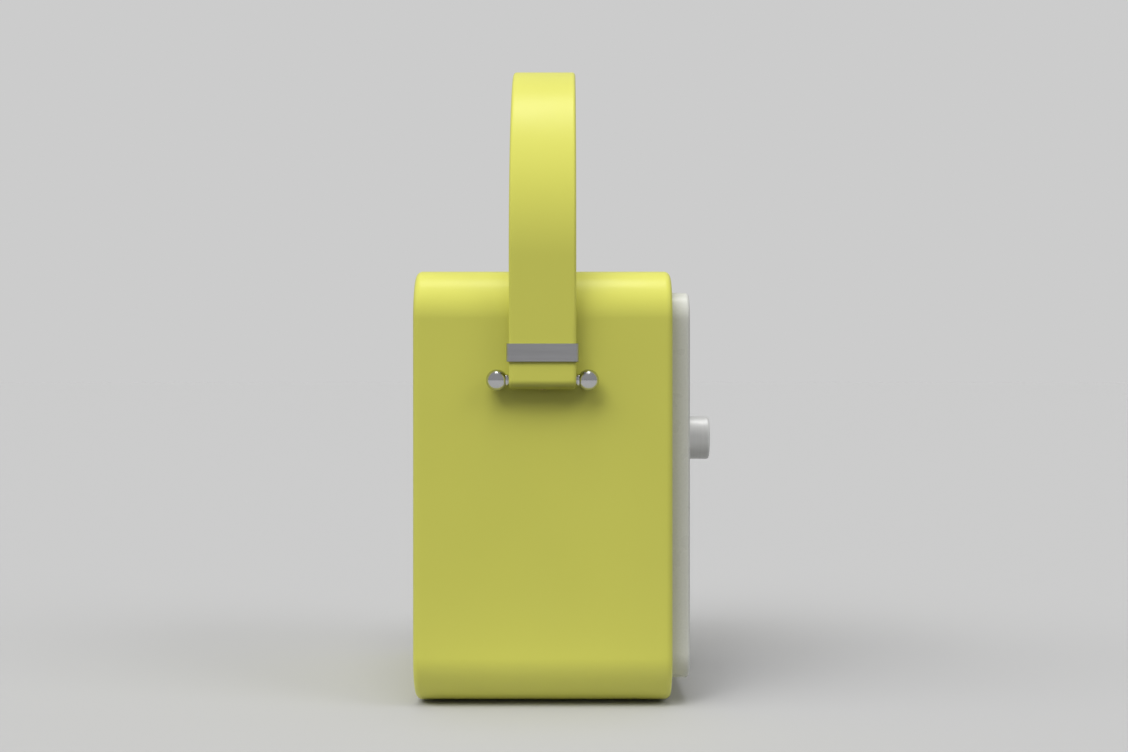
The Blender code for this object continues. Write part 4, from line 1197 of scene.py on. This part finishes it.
def pivot_fittings():
    """The flanged bushes in the cabinet's walls."""
    outline = [
        (BUSH_BORE, 0.0011), (BUSH_FLANGE, 0.0011), (BUSH_FLANGE, GAP), (BUSH_RADIUS, GAP),
        (BUSH_RADIUS, -WALL), (BUSH_BORE, -WALL),
    ]
    profile = eased(outline, [0.0003, 0.0004, 0.0001, 0.0001, 0.0002, 0.0002], 4)
    for side, sign, outward in HANDS:
        loops = turned(profile, (sign * SIDE, HANDLE_AXIS.y, HANDLE_AXIS.z), outward, 56)
        piece(f"wall_bush_{side}", [(loops, True)], "brass", "cabinet", [f"pivot_bush_{side}"])


# --- Parts inside that keep their solids ---

KEPT = {
    "plated_steel": ["tube_band", "tuner_box", "volume_control", "speaker_frame", "chassis_frame",
                     "pivot_nut_left", "pivot_nut_right"],
    "copper": ["deflection_coil"],
    "ferrite": ["yoke_core", "speaker_magnet"],
    "dark_plastic": ["tube_socket", "power_switch", "line_transformer", "battery_box"],
    "brass": ["tuner_shaft"],
    "paper": ["speaker_cone"],
    "board": ["main_board"],
}


def dress_kept_nodes():
    for slot, names in KEPT.items():
        for name in names:
            node = frame["nodes"][name]
            node.data.materials.clear()
            node.data.materials.append(FINISH[slot])


# --- Studio ---

def camera():
    """Level with the middle of the set, square to its left side."""
    data = bpy.data.cameras.new("camera")
    data.lens = 50.0
    data.sensor_width = 36.0
    data.clip_start = 0.01
    made = linked("camera", data)
    made.location = SHELL_LOW + Vector((-CAMERA_DISTANCE, CAMERA_ACROSS, CAMERA_HEIGHT))
    made.rotation_euler = (pi / 2, 0, -pi / 2)
    scene.camera = made


BACKDROP = 0.604
FLOOR_TONE = 0.478
ROOM_LIGHT = 0.37
LIGHT_FROM_BELOW = 0.06
NEAR_FLOOR = 0.125
FLOOR_RADIUS = 40.0
FLOOR_SIDES = 64
HORIZON_SPREAD = 0.15
CAMERA_DISTANCE = 0.715
CAMERA_ACROSS = 0.0498
CAMERA_HEIGHT = 0.1517
SUNS = [
    # name, strength, angle of the disc, azimuth it comes from, elevation, whether it glints
    ("overhead", 0.45, 24, 0, 86, True),
    ("high_front", 0.85, 30, 180, 65, False),
    ("key", 1.15, 30, 144, 48, False),
    ("left_fill", 0.55, 30, 108, 40, False),
    ("right_fill", 0.6, 30, 240, 38, False),
]


def sun(name, strength, disc, azimuth, elevation, glints):
    """A soft light from far away; azimuth is counted from +X towards +Y."""
    data = bpy.data.lights.new(name, "SUN")
    data.energy = strength
    data.angle = radians(disc)
    made = linked(name, data)
    toward = Vector((cos(radians(azimuth)) * cos(radians(elevation)),
                     sin(radians(azimuth)) * cos(radians(elevation)),
                     sin(radians(elevation))))
    made.rotation_euler = toward.to_track_quat("Z", "Y").to_euler()
    made.visible_glossy = glints


def floor():
    """A wide pale floor. Only the part near the set throws light back up, so shade stays deep."""
    matt = {"Specular IOR Level": 0.0}
    paint = Recipe("floor_paint", (FLOOR_TONE, FLOOR_TONE, FLOOR_TONE), 0.9, extra=matt)
    for name, inner, outer in (("floor_near", 0.0, NEAR_FLOOR), ("floor", NEAR_FLOOR, FLOOR_RADIUS)):
        bm = bmesh.new()
        rim = bmesh.ops.create_circle(bm, segments=FLOOR_SIDES, radius=outer, cap_ends=not inner)["verts"]
        if inner:
            inside = bmesh.ops.create_circle(bm, segments=FLOOR_SIDES, radius=inner)["verts"]
            for i in range(FLOOR_SIDES):
                j = (i + 1) % FLOOR_SIDES
                bm.faces.new((rim[i], rim[j], inside[j], inside[i]))
        made = object_from(name, bm)
        made.location.y = MIDDLE_Y
        made.visible_diffuse = not inner
        made.data.materials.append(paint.material)


def surroundings():
    """A plain pale backdrop, with dimmer even light from the room all round."""
    world = bpy.data.worlds.new("studio")
    scene.world = world
    world.use_nodes = True
    tree = world.node_tree
    link = tree.links.new
    room = tree.nodes["Background"]
    direction = add_node(tree, "ShaderNodeSeparateXYZ")
    link(add_node(tree, "ShaderNodeTexCoord").outputs["Generated"], direction.inputs["Vector"])
    height = add_node(tree, "ShaderNodeMapRange", {
        "From Min": -HORIZON_SPREAD, "From Max": HORIZON_SPREAD,
        "To Min": LIGHT_FROM_BELOW, "To Max": ROOM_LIGHT,
    })
    link(direction.outputs["Z"], height.inputs["Value"])
    link(height.outputs["Result"], room.inputs["Color"])
    backdrop = add_node(tree, "ShaderNodeBackground", {"Color": (BACKDROP, BACKDROP, BACKDROP, 1)})
    seen = add_node(tree, "ShaderNodeLightPath")
    mixed = add_node(tree, "ShaderNodeMixShader")
    link(seen.outputs["Is Camera Ray"], mixed.inputs["Fac"])
    link(room.outputs["Background"], mixed.inputs[1])
    link(backdrop.outputs["Background"], mixed.inputs[2])
    link(mixed.outputs["Shader"], tree.nodes["World Output"].inputs["Surface"])


camera()
floor()
surroundings()
for lamp in SUNS:
    sun(*lamp)

cabinet()
feet()
panel()
cloth()
screen()
tube()
channel_knob()
volume_knob()
power_button()
dial_marks()
back_cover()
battery_door()
screws()
hold_knobs()
sockets()
battery_cells()
strap()
keepers()
cross_bars()
pivot_fittings()
dress_kept_nodes()
